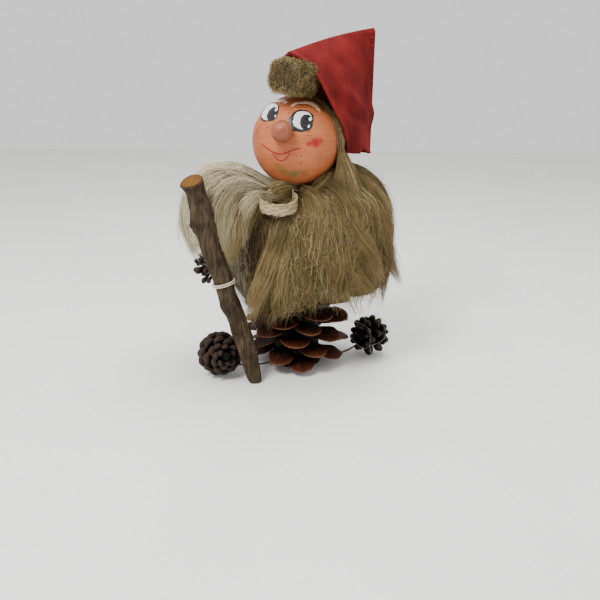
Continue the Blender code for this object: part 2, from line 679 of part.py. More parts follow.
def foot_tie_route():
    """The thread: out of the body cone, twice round the left foot, and back. Its turns cross without touching."""
    stops = [beside(30, -3, 38), beside(47.4, -5, 37.8)]
    # Ways out from the foot's centre, and how far the thread is above the scales.
    for x, y, z, clear in (
        (-10, -9, 14, 2.4), (-2.7, -15.7, 11.4, 2.9), (-1.4, -19, -4.4, 3.1), (1, -16, -10.5, 2.4),
        (8, -12, -12, 1.8), (16, -2, -9, 1.6), (17, 5, 4, 1.6), (9, 7, 14, 1.6), (3, 1, 18, 1.6), (9, -8, 14, 1.6),
        (12, -14, 5, 1.6), (7, -18, 0, 1.5), (0.1, -19.6, -1.8, 1.5), (-5.7, -17.8, -5.9, 1.5), (-13, -14, -3, 1.6),
        (-18.3, -5.8, 1.9, 1.6),
    ):
        stops.append(FOOT_L_CENTRE + Vector((x, y, z)).normalized() * (FOOT_L_RADIUS + clear * MM))
    return smooth_path([*stops, beside(40, 2, 25), beside(29, -1, 24)], 3)


def hide_collar(finish):
    """The strip of raw hide: round the neck, then forward, and curled into a ring on the chest."""
    neck_r = 13.5 * MM
    ring_r = 14.2 * MM
    ring = Vector((-15 * MM, -41 * MM))
    line = []
    for step in range(9):
        angle = math.radians(120 - 26 * step)
        line.append(Vector((math.cos(angle) * neck_r, -4 * MM + math.sin(angle) * neck_r)))
    for step in range(15):
        angle = math.radians(38 - 22.5 * step)
        line.append(ring + Vector((math.cos(angle), math.sin(angle))) * ring_r)
    low, lean = BODY_HEIGHT + 0.6 * MM, 0.25
    rows = []
    for k, place in enumerate(line):
        before, after = line[max(k - 1, 0)], line[min(k + 1, len(line) - 1)]
        way = (after - before).normalized()
        out = Vector((-way.y, way.x)) * STRIP_THICK / 2
        far = max(0.0, -place.y - 15 * MM)
        base = low - 7 * MM * min(1.0, far / (12 * MM)) - lean * (far - 26 * MM) * (far > 0.012)
        height = STRIP_HEIGHT * (0.55 if far == 0 else 1)
        rows.append([
            Vector((place.x + s * out.x, place.y + s * out.y, base + h))
            for s, h in ((1, 0), (-1, 0), (-1, height), (1, height))
        ])
    loft("hide_collar", rows, finish)


def main():
    """Builds every piece of the gnome."""
    for obj in list(bpy.data.objects):
        bpy.data.objects.remove(obj)
    bark = material("bark", (0.16, 0.115, 0.08), 0.9)
    scales = material("cone_scale", (0.22, 0.10, 0.05), 0.75)
    dark_scales = material("small_cone_scale", (0.12, 0.075, 0.05), 0.8)
    paint = material("face_paint", (0.78, 0.36, 0.22), 0.5)
    felt = material("red_felt", (0.42, 0.045, 0.04), 0.95)
    fur = material("fur", (0.45, 0.36, 0.22), 0.85)
    pale_fur = material("pale_fur", (0.58, 0.50, 0.34), 0.85)
    wood = material("dowel_wood", (0.62, 0.44, 0.26), 0.7)
    iron = material("iron_wire", (0.23, 0.17, 0.13), 0.45, 1.0)
    string = material("string", (0.8, 0.76, 0.64), 0.9)
    hide = material("raw_hide", (0.66, 0.56, 0.38), 0.7)

    body = body_cone(scales)
    neck(wood, body)
    head(paint, paint)
    hood(felt)
    hair(fur)
    fringe(fur)

    arm_path = arm_route()
    leg_path = leg_route()
    thread_path = foot_tie_route()
    tube("arm_wire", arm_path, ARM_WIRE_RADIUS, iron)
    tube("leg_wire", leg_path, LEG_WIRE_RADIUS, iron)
    finishes = {"beard": fur, "fur_sleeve_left": fur, "fur_back": fur, "fur_sleeve_right": pale_fur}
    arm_channel = mantle(finishes, arm_path)
    leg_channel = tube("leg_channel", run_on(leg_path, WIRE_GAP), LEG_WIRE_RADIUS + WIRE_GAP)
    cut(body, arm_channel)
    cut(body, leg_channel)
    cut(body, tube("thread_channel", run_on(thread_path, WIRE_GAP), FOOT_TIE_RADIUS + WIRE_GAP))
    tube("foot_tie", thread_path, FOOT_TIE_RADIUS, string)

    for name, centre, radius, axis, spread, channel in (
        ("foot_cone_right", FOOT_R_CENTRE, FOOT_R_RADIUS, FOOT_R_AXIS, 34, leg_channel),
        ("foot_cone_left", FOOT_L_CENTRE, FOOT_L_RADIUS, FOOT_L_AXIS, 30, leg_channel),
        ("hand_cone_right", right_hand(), HAND_R_RADIUS, HAND_R_AXIS, 34, arm_channel),
        ("hand_cone_left", HAND_L_CENTRE, HAND_L_RADIUS, HAND_L_AXIS, 30, arm_channel),
    ):
        cut(small_cone(name, centre, radius, axis, spread, dark_scales), channel)

    staff(bark)
    staff_tie(string)
    hide_collar(hide)


main()
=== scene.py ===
"""The pine-cone gnome's looks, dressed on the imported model.

A large cone stands as the body, small cones are its feet and hands, a painted wooden ball is its head, and a felt
hood and long goat hair dress it. Metres, +Z up, the viewer's side is -Y. Sizes in the classes are in millimetres.
"""

from __future__ import annotations

import json
import logging
import math
from dataclasses import dataclass, field, replace
from enum import Enum
from typing import Any, Iterable, Sequence

import bmesh
import bpy
import numpy as np
from mathutils import Matrix, Vector

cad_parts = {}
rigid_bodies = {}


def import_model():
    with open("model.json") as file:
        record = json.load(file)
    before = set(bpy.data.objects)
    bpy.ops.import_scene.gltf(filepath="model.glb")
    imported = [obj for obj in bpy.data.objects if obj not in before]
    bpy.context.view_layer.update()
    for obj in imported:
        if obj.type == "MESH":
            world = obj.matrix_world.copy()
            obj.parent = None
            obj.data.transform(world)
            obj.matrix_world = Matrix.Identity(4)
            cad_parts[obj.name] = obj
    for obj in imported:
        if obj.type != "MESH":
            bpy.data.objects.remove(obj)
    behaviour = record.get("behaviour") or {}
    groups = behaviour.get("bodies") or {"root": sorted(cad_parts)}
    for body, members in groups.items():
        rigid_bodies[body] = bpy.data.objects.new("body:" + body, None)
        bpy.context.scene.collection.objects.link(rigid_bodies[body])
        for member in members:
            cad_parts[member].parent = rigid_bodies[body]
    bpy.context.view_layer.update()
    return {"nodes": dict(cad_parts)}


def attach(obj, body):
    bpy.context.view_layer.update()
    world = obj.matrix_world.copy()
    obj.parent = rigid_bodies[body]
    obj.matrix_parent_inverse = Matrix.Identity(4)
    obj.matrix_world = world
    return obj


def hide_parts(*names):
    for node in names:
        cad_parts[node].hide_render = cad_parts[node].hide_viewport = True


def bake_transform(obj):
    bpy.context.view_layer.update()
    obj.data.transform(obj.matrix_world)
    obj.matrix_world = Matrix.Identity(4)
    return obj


LOG = logging.getLogger("gnome")
MM = 0.001
GOLDEN_ANGLE = math.pi * (3 - math.sqrt(5))
Colour = tuple[float, float, float]
Array = np.ndarray

# Shared sizes, in millimetres. They repeat the solids that the pieces stand for.
HEAD_CENTRE = np.array([-1.5, -10.0, 192.0])
HEAD_RADIUS = 35.0
NECK_ROOT = np.array([0.4, 2.0, 119.0])
FACE_TURN, FACE_LIFT = math.radians(17), math.radians(15)
BODY_HEIGHT, BODY_RADIUS, BODY_BASE, BODY_TOP = 146.0, 47.5, 21.0, 9.5


class Body(Enum):
    """The parts that move on their own."""

    FIGURE = "figure"
    HEAD = "head"
    STAFF = "staff"


class Slot(Enum):
    """The record's finishes."""

    CONE = "cone_scale"
    SMALL_CONE = "small_cone_scale"
    FACE = "face_paint"
    FELT = "red_felt"
    FUR = "fur"
    PALE_FUR = "pale_fur"
    DOWEL = "dowel_wood"
    IRON = "iron_wire"
    STRING = "string"
    HIDE = "raw_hide"
    BARK = "bark"


# ---------------------------------------------------------------- node toolkit


class Sock:
    """A node's output that adds, scales and compares as a number does."""

    def __init__(self, kit: Kit, out: Any) -> None:
        """Keeps the tree's kit and the output."""
        self.kit, self.out = kit, out

    def maths(self, operation: str, other: Any = 0.0, flip: bool = False) -> Sock:
        """Joins this value with another in a Math node.

        Args:
            operation: the Math node's operation.
            other: a number or another output.
            flip: whether the other value comes first.
        Returns:
            The node's value.
        """
        first, second = (other, self) if flip else (self, other)
        return self.kit.put("ShaderNodeMath", {0: first, 1: second}, operation=operation)

    def __add__(self, other: Any) -> Sock:
        """Sum."""
        return self.maths("ADD", other)

    def __radd__(self, other: Any) -> Sock:
        """Sum, with the number first."""
        return self.maths("ADD", other, True)

    def __sub__(self, other: Any) -> Sock:
        """Difference."""
        return self.maths("SUBTRACT", other)

    def __rsub__(self, other: Any) -> Sock:
        """Difference, with the number first."""
        return self.maths("SUBTRACT", other, True)

    def __mul__(self, other: Any) -> Sock:
        """Product."""
        return self.maths("MULTIPLY", other)

    def __rmul__(self, other: Any) -> Sock:
        """Product, with the number first."""
        return self.maths("MULTIPLY", other, True)

    def __truediv__(self, other: Any) -> Sock:
        """Quotient."""
        return self.maths("DIVIDE", other)

    def __pow__(self, other: Any) -> Sock:
        """Power."""
        return self.maths("POWER", other)

    def between(self, low: float, high: float) -> Sock:
        """Rises smoothly from 0 at low to 1 at high."""
        return self.kit.put(
            "ShaderNodeMapRange", {"Value": self, "From Min": low, "From Max": high}, interpolation_type="SMOOTHSTEP"
        )


class Kit:
    """Puts nodes in a tree."""

    def __init__(self, tree: Any) -> None:
        """Keeps the tree."""
        self.tree = tree

    def put(
        self, kind: str, values: dict[Any, Any] | None = None, out: Any = 0,
        stops: Sequence[tuple[float, Colour]] | None = None, **settings: Any,
    ) -> Sock:
        """Adds a node.

        Args:
            kind: the node's type.
            values: what each input socket, by name or place, holds or is linked to.
            out: the output that is wanted, by name or place.
            stops: a colour ramp's places and colours.
            settings: the node's own properties, which are set first.
        Returns:
            The wanted output.
        """
        node = self.tree.nodes.new(kind)
        for key, value in settings.items():
            setattr(node, key, value)
        if stops:
            ramp = node.color_ramp.elements
            while len(ramp) < len(stops):
                ramp.new(0.5)
            for element, (place, colour) in zip(ramp, stops):
                element.position, element.color = place, (*colour, 1)
        for key, value in (values or {}).items():
            self.feed(node.inputs[key], value)
        return Sock(self, node.outputs[out])

    def feed(self, socket: Any, value: Any) -> None:
        """Links an output to a socket, or sets the socket's own value."""
        if isinstance(value, Sock):
            self.tree.links.new(value.out, socket)
        elif isinstance(value, tuple) and len(value) == 3 and socket.type == "RGBA":
            socket.default_value = (*value, 1)
        else:
            socket.default_value = value


class Paint(Kit):
    """A material's tree, with the patterns that the finishes share."""

    def __init__(self, name: str) -> None:
        """Makes an empty material with a Principled BSDF."""
        self.material = bpy.data.materials.new(name)
        self.material.use_nodes = True
        super().__init__(self.material.node_tree)
        self.shader = self.tree.nodes["Principled BSDF"]
        self.place = self.put("ShaderNodeTexCoord", out="Object")

    def attribute(self, name: str) -> Sock:
        """A number that the mesh carries."""
        return self.put("ShaderNodeAttribute", attribute_name=name, attribute_type="GEOMETRY", out="Fac")

    def stretched(self, scale: tuple[float, float, float], turn: tuple[float, float, float] = (0, 0, 0)) -> Sock:
        """The object's place, turned by degrees and then scaled on each axis."""
        angles = tuple(math.radians(a) for a in turn)
        return self.put("ShaderNodeMapping", {"Vector": self.place, "Rotation": angles, "Scale": scale})

    def noise(self, scale: float, detail: float = 3.0, place: Sock | None = None, distort: float = 0.0) -> Sock:
        """Soft noise from 0 to 1; scale is in waves a metre."""
        values = {"Vector": place or self.place, "Scale": scale, "Detail": detail, "Distortion": distort}
        return self.put("ShaderNodeTexNoise", values)

    def mix(self, factor: Any, low: Any, high: Any) -> Sock:
        """Goes from one colour to another."""
        return self.put("ShaderNodeMix", {0: factor, 6: low, 7: high}, out=2, data_type="RGBA")

    def ramp(self, factor: Sock, stops: Sequence[tuple[float, Colour]]) -> Sock:
        """A colour ramp."""
        return self.put("ShaderNodeValToRGB", {"Fac": factor}, stops=stops)

    def near(self, centre: Iterable[float], inner: float, outer: float) -> Sock:
        """1 within inner millimetres of a place, and 0 past outer ones."""
        spot = tuple(float(c) * MM for c in centre)
        apart = self.put("ShaderNodeVectorMath", {0: self.place, 1: spot}, out="Value", operation="DISTANCE")
        return 1 - apart.between(inner * MM, outer * MM)

    def close(self, colour: Any, roughness: Any, bump: Sock | None = None, height: float = 0.2, **fixed: float) -> Any:
        """Feeds the shader.

        Args:
            colour: the base colour or its output.
            roughness: the roughness or its output.
            bump: what lifts the surface, from 0 to 1.
            height: how far it lifts, in millimetres.
            fixed: other sockets, one number each, with _ for a space.
        Returns:
            The material.
        """
        self.feed(self.shader.inputs["Base Color"], colour)
        self.feed(self.shader.inputs["Roughness"], roughness)
        for key, value in fixed.items():
            self.feed(self.shader.inputs[key.replace("_", " ")], value)
        if bump is not None:
            lifted = self.put("ShaderNodeBump", {"Height": bump, "Strength": 1.0, "Distance": height * MM})
            self.feed(self.shader.inputs["Normal"], lifted)
        return self.material


class Recipe(Kit):
    """A geometry tree with named inputs, run once on a mesh and then taken off it."""

    KINDS = {
        float: "NodeSocketFloat", int: "NodeSocketInt",
        bpy.types.Material: "NodeSocketMaterial", bpy.types.Object: "NodeSocketObject",
    }

    def __init__(self, name: str, sizes: dict[str, type]) -> None:
        """Makes the tree, with a geometry input and one for each size."""
        group = bpy.data.node_groups.new(name, "GeometryNodeTree")
        super().__init__(group)
        group.interface.new_socket("Geometry", in_out="INPUT", socket_type="NodeSocketGeometry")
        self.ids = {}
        for label, kind in sizes.items():
            made = group.interface.new_socket(label, in_out="INPUT", socket_type=self.KINDS[kind])
            self.ids[label] = made.identifier
        group.interface.new_socket("Geometry", in_out="OUTPUT", socket_type="NodeSocketGeometry")
        self.source = self.tree.nodes.new("NodeGroupInput")

    def given(self, label: str) -> Sock:
        """One of the tree's inputs."""
        return Sock(self, self.source.outputs[label])

    def close(self, geometry: Sock) -> None:
        """Ends the tree in real geometry with the finish on it."""
        real = self.put("GeometryNodeRealizeInstances", {"Geometry": geometry})
        dressed = self.put("GeometryNodeSetMaterial", {"Geometry": real, "Material": self.given("Finish")})
        self.feed(self.tree.nodes.new("NodeGroupOutput").inputs[0], dressed)

    def run(self, obj: Any, **sizes: Any) -> Any:
        """Runs the tree on an object and keeps the result as its mesh.

        Args:
            obj: the object whose mesh feeds the tree.
            sizes: the inputs, with _ for a space.
        Returns:
            The same object.
        """
        modifier = obj.modifiers.new(self.tree.name, "NODES")
        modifier.node_group = self.tree
        for label, value in sizes.items():
            modifier[self.ids[label.replace("_", " ")]] = value
        graph = bpy.context.evaluated_depsgraph_get()
        mesh = bpy.data.meshes.new_from_object(
            obj.evaluated_get(graph), preserve_all_data_layers=True, depsgraph=graph
        )
        obj.modifiers.clear()
        old, obj.data = obj.data, mesh
        bpy.data.meshes.remove(old)
        return obj


def strand_recipe() -> Recipe:
    """Turns lines that carry a thickness into fine round strands."""
    tree = Recipe("strands", {"Radius": float, "Sides": int, "Finish": bpy.types.Material})
    lines = tree.put("GeometryNodeMeshToCurve", {"Mesh": tree.given("Geometry")})
    circle = {"Resolution": tree.given("Sides"), "Radius": tree.given("Radius")}
    ring = tree.put("GeometryNodeCurvePrimitiveCircle", circle)
    thick = tree.put("GeometryNodeInputNamedAttribute", {"Name": "thick"}, data_type="FLOAT")
    values = {"Curve": lines, "Profile Curve": ring, "Scale": thick, "Fill Caps": True}
    tubes = tree.put("GeometryNodeCurveToMesh", values)
    tree.close(tree.put("GeometryNodeSetShadeSmooth", {"Geometry": tubes}))
    return tree


def scatter_recipe() -> Recipe:
    """Sets copies of one piece on points that carry a turn and a size, and makes each copy a little its own."""
    sizes = {"Piece": bpy.types.Object, "Uneven": float, "Wave": float, "Finish": bpy.types.Material}
    tree = Recipe("scatter", sizes)
    piece = tree.put("GeometryNodeObjectInfo", {"Object": tree.given("Piece")}, out="Geometry")
    turn = tree.put("GeometryNodeInputNamedAttribute", {"Name": "turn"}, data_type="FLOAT_VECTOR")
    size = tree.put("GeometryNodeInputNamedAttribute", {"Name": "size"}, data_type="FLOAT_VECTOR")
    spin = tree.put("FunctionNodeEulerToRotation", {"Euler": turn})
    points = tree.put("GeometryNodeMeshToPoints", {"Mesh": tree.given("Geometry")})
    copies = tree.put(
        "GeometryNodeInstanceOnPoints", {"Points": points, "Instance": piece, "Rotation": spin, "Scale": size}
    )
    real = tree.put("GeometryNodeRealizeInstances", {"Geometry": copies})
    wave = tree.put("ShaderNodeTexNoise", {"Scale": tree.given("Wave"), "Detail": 2.0}, out="Color")
    level = tree.put("ShaderNodeVectorMath", {0: wave, 1: (0.5, 0.5, 0.5)}, operation="SUBTRACT")
    shift = tree.put("ShaderNodeVectorMath", {0: level, "Scale": tree.given("Uneven")}, operation="SCALE")
    tree.close(tree.put("GeometryNodeSetPosition", {"Geometry": real, "Offset": shift}))
    return tree


# ---------------------------------------------------------------- finishes


@dataclass(frozen=True)
class FurFinish:
    """Long hair: each hair darkened towards its root as painted shade within the coat and at its own tone near the tip,
    and each hair has a tint of its own.
    """

    name: str
    tones: tuple[Colour, Colour, Colour, Colour]
    root_painted_shade: float = 0.55

    def build(self) -> Any:
        """Makes the material."""
        paint = Paint(self.name)
        tint = paint.attribute("tint") + (paint.noise(60, 2) - 0.5) * 0.5
        tone = paint.ramp(tint, [(k / 3, c) for k, c in enumerate(self.tones)])
        # Painted shade: each hair is darker at its root, where the coat shades it, and reaches its own tone past 0.45
        # of its length.
        along = paint.attribute("along").between(0.0, 0.45)
        dark = paint.mix(1.0, tone, (self.root_painted_shade,) * 3)
        dark.out.node.blend_type = "MULTIPLY"
        colour = paint.mix(along, dark, tone)
        return paint.close(colour, 0.66, Specular_IOR_Level=0.22)


@dataclass(frozen=True)
class WadFinish:
    """The matted hair under the strands, in tones darker than the coat as painted shade between the hairs, and near
    black where it is painted shadow alone: streaks that run down the coat.
    """

    name: str
    low: Colour
    high: Colour

    def build(self) -> Any:
        """Makes the material."""
        paint = Paint(self.name)
        lines = paint.put("ShaderNodeTexNoise", {
            "W": paint.attribute("round") * 90 + paint.noise(90, 2) * 3, "Scale": 1.0, "Detail": 4.0,
        }, noise_dimensions="1D")
        tufts = paint.noise(240, 3)
        colour = paint.mix((lines * 0.7 + tufts * 0.5).between(0.35, 0.8), self.low, self.high)
        return paint.close(colour, 0.9, lines, 0.9)


@dataclass(frozen=True)
class ConeFinish:
    """A cone's scales: roots near black as painted shade deep between the scales, streaks along, and a paler worn rim.
    """

    name: str
    root: Colour
    face: Colour
    rim: Colour
    rim_from: float = 0.93

    def build(self) -> Any:
        """Makes the material."""
        paint = Paint(self.name)
        along, side, tint = (paint.attribute(a) for a in ("along", "side", "tint"))
        streak = paint.put("ShaderNodeTexNoise", {
            "W": side * 9 + tint * 40 + along * 0.8, "Scale": 1.0, "Detail": 3.0,
        }, noise_dimensions="1D")
        blotch = paint.noise(180, 4)
        # Painted shade: from the near-black root to the face's colour along each scale, darkest deep in the cone.
        shade = (along * 0.9 + (streak - 0.5) * 0.9 + (blotch - 0.5) * 0.6).between(0.25, 1.0)
        colour = paint.mix(shade, self.root, self.face)
        fresh = paint.mix(tint * 0.7, (1.0, 1.0, 1.0), (0.55, 0.5, 0.48))
        toned = paint.mix(1.0, colour, fresh)
        toned.out.node.blend_type = "MULTIPLY"
        worn = (along + (blotch - 0.5) * 0.08).between(self.rim_from, 1.0) * 0.75
        colour, rough = paint.mix(worn, toned, self.rim), 0.62 + (blotch - 0.5) * 0.3
        lift = streak * 0.6 + paint.noise(900, 2) * 0.4
        return paint.close(colour, rough, lift, 0.7, Specular_IOR_Level=0.15)


@dataclass(frozen=True)
class FacePaint:
    """Salmon paint on turned wood: grain, fine cracks, stains on the chin, and red rubbed on the cheeks."""

    name: str = "face_paint"
    base: Colour = (0.33, 0.082, 0.025)
    # Place right and up on the face, full and faded radius, colour and strength.
    stains: tuple[tuple[tuple[float, float], float, float, Colour, float], ...] = (
        ((22.5, -5), 1, 6.5, (0.28, 0.006, 0.005), 1.0), ((18.5, -6.5), 0, 3.5, (0.28, 0.006, 0.005), 0.95),
        ((26, -3), 0, 4, (0.28, 0.006, 0.005), 0.85), ((-25, 1), 0, 7, (0.3, 0.02, 0.015), 0.4),
        ((-3, -25.5), 0, 9, (0.16, 0.11, 0.02), 0.8), ((6, -28), 0, 8, (0.1, 0.11, 0.035), 0.85),
        ((13, -27), 0, 7, (0.18, 0.08, 0.015), 0.6),
    )
    # Place right and up on the face, and radius.
    specks: tuple[tuple[float, float, float], ...] = (
        (13, -15.5, 0.8), (12.6, -20.3, 1.0), (10, -15.5, 0.6), (-13.8, 4.3, 0.9), (-6.5, -1, 0.7), (15, -18, 0.6),
    )

    def build(self) -> Any:
        """Makes the material."""
        paint = Paint(self.name)
        grain = paint.noise(1.0, 5, paint.stretched((70, 70, 900), (10, -6, 0)), 0.6)
        cloud = paint.noise(55, 3)
        colour = paint.mix((grain * 0.6 + cloud * 0.5).between(0.35, 0.75), self.base, (0.44, 0.132, 0.045))
        crack = paint.noise(1.0, 2, paint.stretched((45, 45, 420), (0, 14, 0)), 1.1)
        line = (1 - (crack - 0.5).maths("ABSOLUTE").between(0.0, 0.012)) * paint.noise(70, 1).between(0.52, 0.66)
        colour = paint.mix(line * 0.55, colour, (0.2, 0.05, 0.03))
        for (right, up), inner, outer, tone, strength in self.stains:
            spot = paint.near(face_place(right, up, 0), inner, outer)
            patchy = spot * (paint.noise(260, 4) + spot * 0.25).between(0.42, 0.62)
            colour = paint.mix(patchy * strength, colour, tone)
        for right, up, size in self.specks:
            speck = paint.near(face_place(right, up, 0), size * 0.4, size)
            colour = paint.mix(speck, colour, (0.12, 0.03, 0.02))
        lift = grain * 0.5 - line * 1.2 + paint.noise(700, 2) * 0.3
        return paint.close(colour, 0.5 + (grain - 0.5) * 0.25, lift, 0.35, Specular_IOR_Level=0.3)


@dataclass(frozen=True)
class NosePaint:
    """The nose's paint, clouded in two tones, with pits."""

    name: str = "nose_paint"
    base: Colour = (0.26, 0.068, 0.023)

    def build(self) -> Any:
        """Makes the material."""
        paint = Paint(self.name)
        cloud = paint.noise(160, 3)
        colour = paint.mix(cloud.between(0.35, 0.7), self.base, (0.2, 0.045, 0.015))
        pit = paint.put("ShaderNodeTexVoronoi", {"Vector": paint.place, "Scale": 420.0}, out="Distance")
        hole = (1 - pit.between(0.1, 0.3)) * cloud.between(0.5, 0.6)
        colour = paint.mix(hole * 0.6, colour, (0.16, 0.04, 0.02))
        return paint.close(colour, 0.45, paint.noise(500, 3) - hole * 0.8, 0.4)


@dataclass(frozen=True)
class BrushPaint:
    """Thick paint laid with a brush over the face."""

    name: str
    colour: Colour
    roughness: float = 0.4

    def build(self) -> Any:
        """Makes the material."""
        paint = Paint(self.name)
        stroke = paint.noise(1.0, 3, paint.stretched((300, 300, 900), (0, 20, 0)))
        thin = tuple(c * 0.72 + 0.02 for c in self.colour)
        colour = paint.mix(stroke.between(0.3, 0.7), thin, self.colour)
        return paint.close(colour, self.roughness, stroke, 0.12, Specular_IOR_Level=0.2)


@dataclass(frozen=True)
class FeltFinish:
    """Red felt: fuzz, matted cloud, and a paler worn band on edges and folds, from the mesh's wear."""

    name: str = "red_felt"

    def build(self) -> Any:
        """Makes the material."""
        paint = Paint(self.name)
        cloud, fuzz = paint.noise(45, 4), paint.noise(900, 4)
        shade = (cloud * 0.8 + fuzz * 0.35).between(0.35, 0.8)
        colour = paint.mix(shade, (0.072, 0.0065, 0.0068), (0.175, 0.0145, 0.0135))
        wear = (paint.attribute("wear") + (cloud - 0.5) * 0.7 + (fuzz - 0.5) * 0.5).between(0.35, 1.1)
        colour = paint.mix(wear * 0.4, colour, (0.23, 0.02, 0.016))
        speck = paint.noise(1500, 2).between(0.66, 0.74)
        colour = paint.mix(speck * 0.2, colour, (0.34, 0.07, 0.055))
        lift = fuzz * 0.7 + paint.noise(2200, 2) * 0.3
        return paint.close(colour, 0.95, lift, 0.5, Specular_IOR_Level=0.06)


@dataclass(frozen=True)
class BarkFinish:
    """A twig's bark: grey-brown, ridged along, with pale flecks and dark knots from the mesh's own mark."""

    name: str = "bark"

    def build(self) -> Any:
        """Makes the material."""
        paint = Paint(self.name)
        ridge = paint.noise(1.0, 5, paint.stretched((420, 420, 60), (0, 15.4, 0)), 0.8)
        cloud = paint.noise(70, 4)
        tones = (
            (0.0, (0.014, 0.009, 0.005)), (0.45, (0.038, 0.025, 0.013)),
            (0.8, (0.066, 0.045, 0.026)), (1.0, (0.12, 0.09, 0.06)),
        )
        colour = paint.ramp((ridge * 0.7 + cloud * 0.45).between(0.3, 0.85), tones)
        knot = paint.attribute("knot")
        colour = paint.mix(knot * 0.7, colour, (0.016, 0.009, 0.005))
        lift = ridge + paint.noise(900, 3) * 0.35 + cloud * 0.5
        return paint.close(colour, 0.85, lift, 0.9, Specular_IOR_Level=0.15)


@dataclass(frozen=True)
class CutFinish:
    """Sawn wood across the grain: rings about a pith, a crack, and a dark rim of bark."""

    name: str
    centre: tuple[float, float, float]
    light: Colour = (0.23, 0.1, 0.022)
    dark: Colour = (0.06, 0.021, 0.006)

    def build(self) -> Any:
        """Makes the material."""
        paint = Paint(self.name)
        spot = tuple(c * MM for c in self.centre)
        apart = paint.put("ShaderNodeVectorMath", {0: paint.place, 1: spot}, out="Value", operation="DISTANCE")
        ring = (apart * 6500 + paint.noise(300, 3) * 7).maths("SINE") * 0.5 + 0.5
        cloud = paint.noise(420, 3)
        colour = paint.mix((ring * 0.5 + cloud * 0.5).between(0.25, 0.8), self.dark, self.light)
        rim = (apart + (cloud - 0.5) * 0.002).between(7.6 * MM, 8.5 * MM)
        colour = paint.mix(rim, colour, (0.03, 0.015, 0.007))
        return paint.close(colour, 0.85, ring * 0.5 + cloud, 0.35, Specular_IOR_Level=0.1)


@dataclass(frozen=True)
class PlainFinish:
    """A small piece's finish: two tones in soft cloud, drawn out along an axis, with a bump of its own."""

    name: str
    low: Colour
    high: Colour
    roughness: float = 0.8
    metallic: float = 0.0
    wave: tuple[float, float, float] = (400, 400, 400)
    height: float = 0.2

    def build(self) -> Any:
        """Makes the material."""
        paint = Paint(self.name)
        cloud = paint.noise(1.0, 5, paint.stretched(self.wave), 0.4)
        colour = paint.mix(cloud.between(0.32, 0.7), self.low, self.high)
        rough = self.roughness + (cloud - 0.5) * 0.3
        return paint.close(colour, rough, cloud, self.height, Metallic=self.metallic)


# ---------------------------------------------------------------- shapes in numbers


def unit(vectors: Array) -> Array:
    """Each vector at length 1."""
    return vectors / np.linalg.norm(vectors, axis=-1, keepdims=True)


def hermite(stops: Array, values: Array, at: Array) -> Array:
    """A smooth line through values at rising stops.

    Args:
        stops: where the values are given.
        values: one row for each stop, or one number.
        at: where the line is wanted.
    Returns:
        The line's value at each place.
    """
    slope = np.gradient(values, stops, axis=0)
    k = np.clip(np.searchsorted(stops, at, side="right") - 1, 0, len(stops) - 2)
    span = stops[k + 1] - stops[k]
    t = np.clip((at - stops[k]) / span, 0, 1)
    if values.ndim > 1:
        span, t = span[..., None], t[..., None]
    return (
        (2 * t**3 - 3 * t**2 + 1) * values[k] + (t**3 - 2 * t**2 + t) * span * slope[k]
        + (3 * t**2 - 2 * t**3) * values[k + 1] + (t**3 - t**2) * span * slope[k + 1]
    )


def smooth_path(points: Sequence[Sequence[float]], count: int) -> Array:
    """Evenly spaced points on a smooth line through the given ones."""
    given = np.array(points, float)
    steps = np.concatenate([[0], np.cumsum(np.linalg.norm(np.diff(given, axis=0), axis=1))])
    fine = hermite(steps, given, np.linspace(0, steps[-1], count * 6))
    walk = np.concatenate([[0], np.cumsum(np.linalg.norm(np.diff(fine, axis=0), axis=1))])
    at = np.linspace(0, walk[-1], count)
    return np.stack([np.interp(at, walk, fine[:, k]) for k in range(3)], axis=1)


def swirl(points: Array, wave: float, seed: int) -> Array:
    """A smooth, seeded shake of each point, about -1 to 1 on each axis, with waves of the given length."""
    rng = np.random.default_rng(seed)
    shake = np.zeros_like(points)
    for octave in range(3):
        way = rng.normal(size=(3, 3)) * (2 * math.pi / wave) * (1.0, 1.7, 2.9)[octave] * 0.6
        shake += np.sin(points @ way + rng.uniform(0, 6.28, 3)) * (0.55, 0.3, 0.15)[octave]
    return shake


def face_axes() -> tuple[Array, Array, Array]:
    """The face's right and up as the viewer sees them, and the way it looks."""
    level = math.cos(FACE_LIFT)
    out = np.array([-math.sin(FACE_TURN) * level, -math.cos(FACE_TURN) * level, math.sin(FACE_LIFT)])
    right = np.cross([0, 0, 1.0], out)
    right *= 1 / np.linalg.norm(right)
    return right, np.cross(out, right), out


def face_place(right: Any, up: Any, lift: Any) -> Array:
    """A place on the face: millimetres right and up of its middle, and above the ball."""
    across, upward, out = face_axes()
    a, b = np.asarray(right, float) / HEAD_RADIUS, np.asarray(up, float) / HEAD_RADIUS
    depth = np.sqrt(np.maximum(1 - a**2 - b**2, 0.0))
    way = a[..., None] * across + b[..., None] * upward + depth[..., None] * out
    return HEAD_CENTRE + way * (HEAD_RADIUS + np.asarray(lift, float))[..., None]


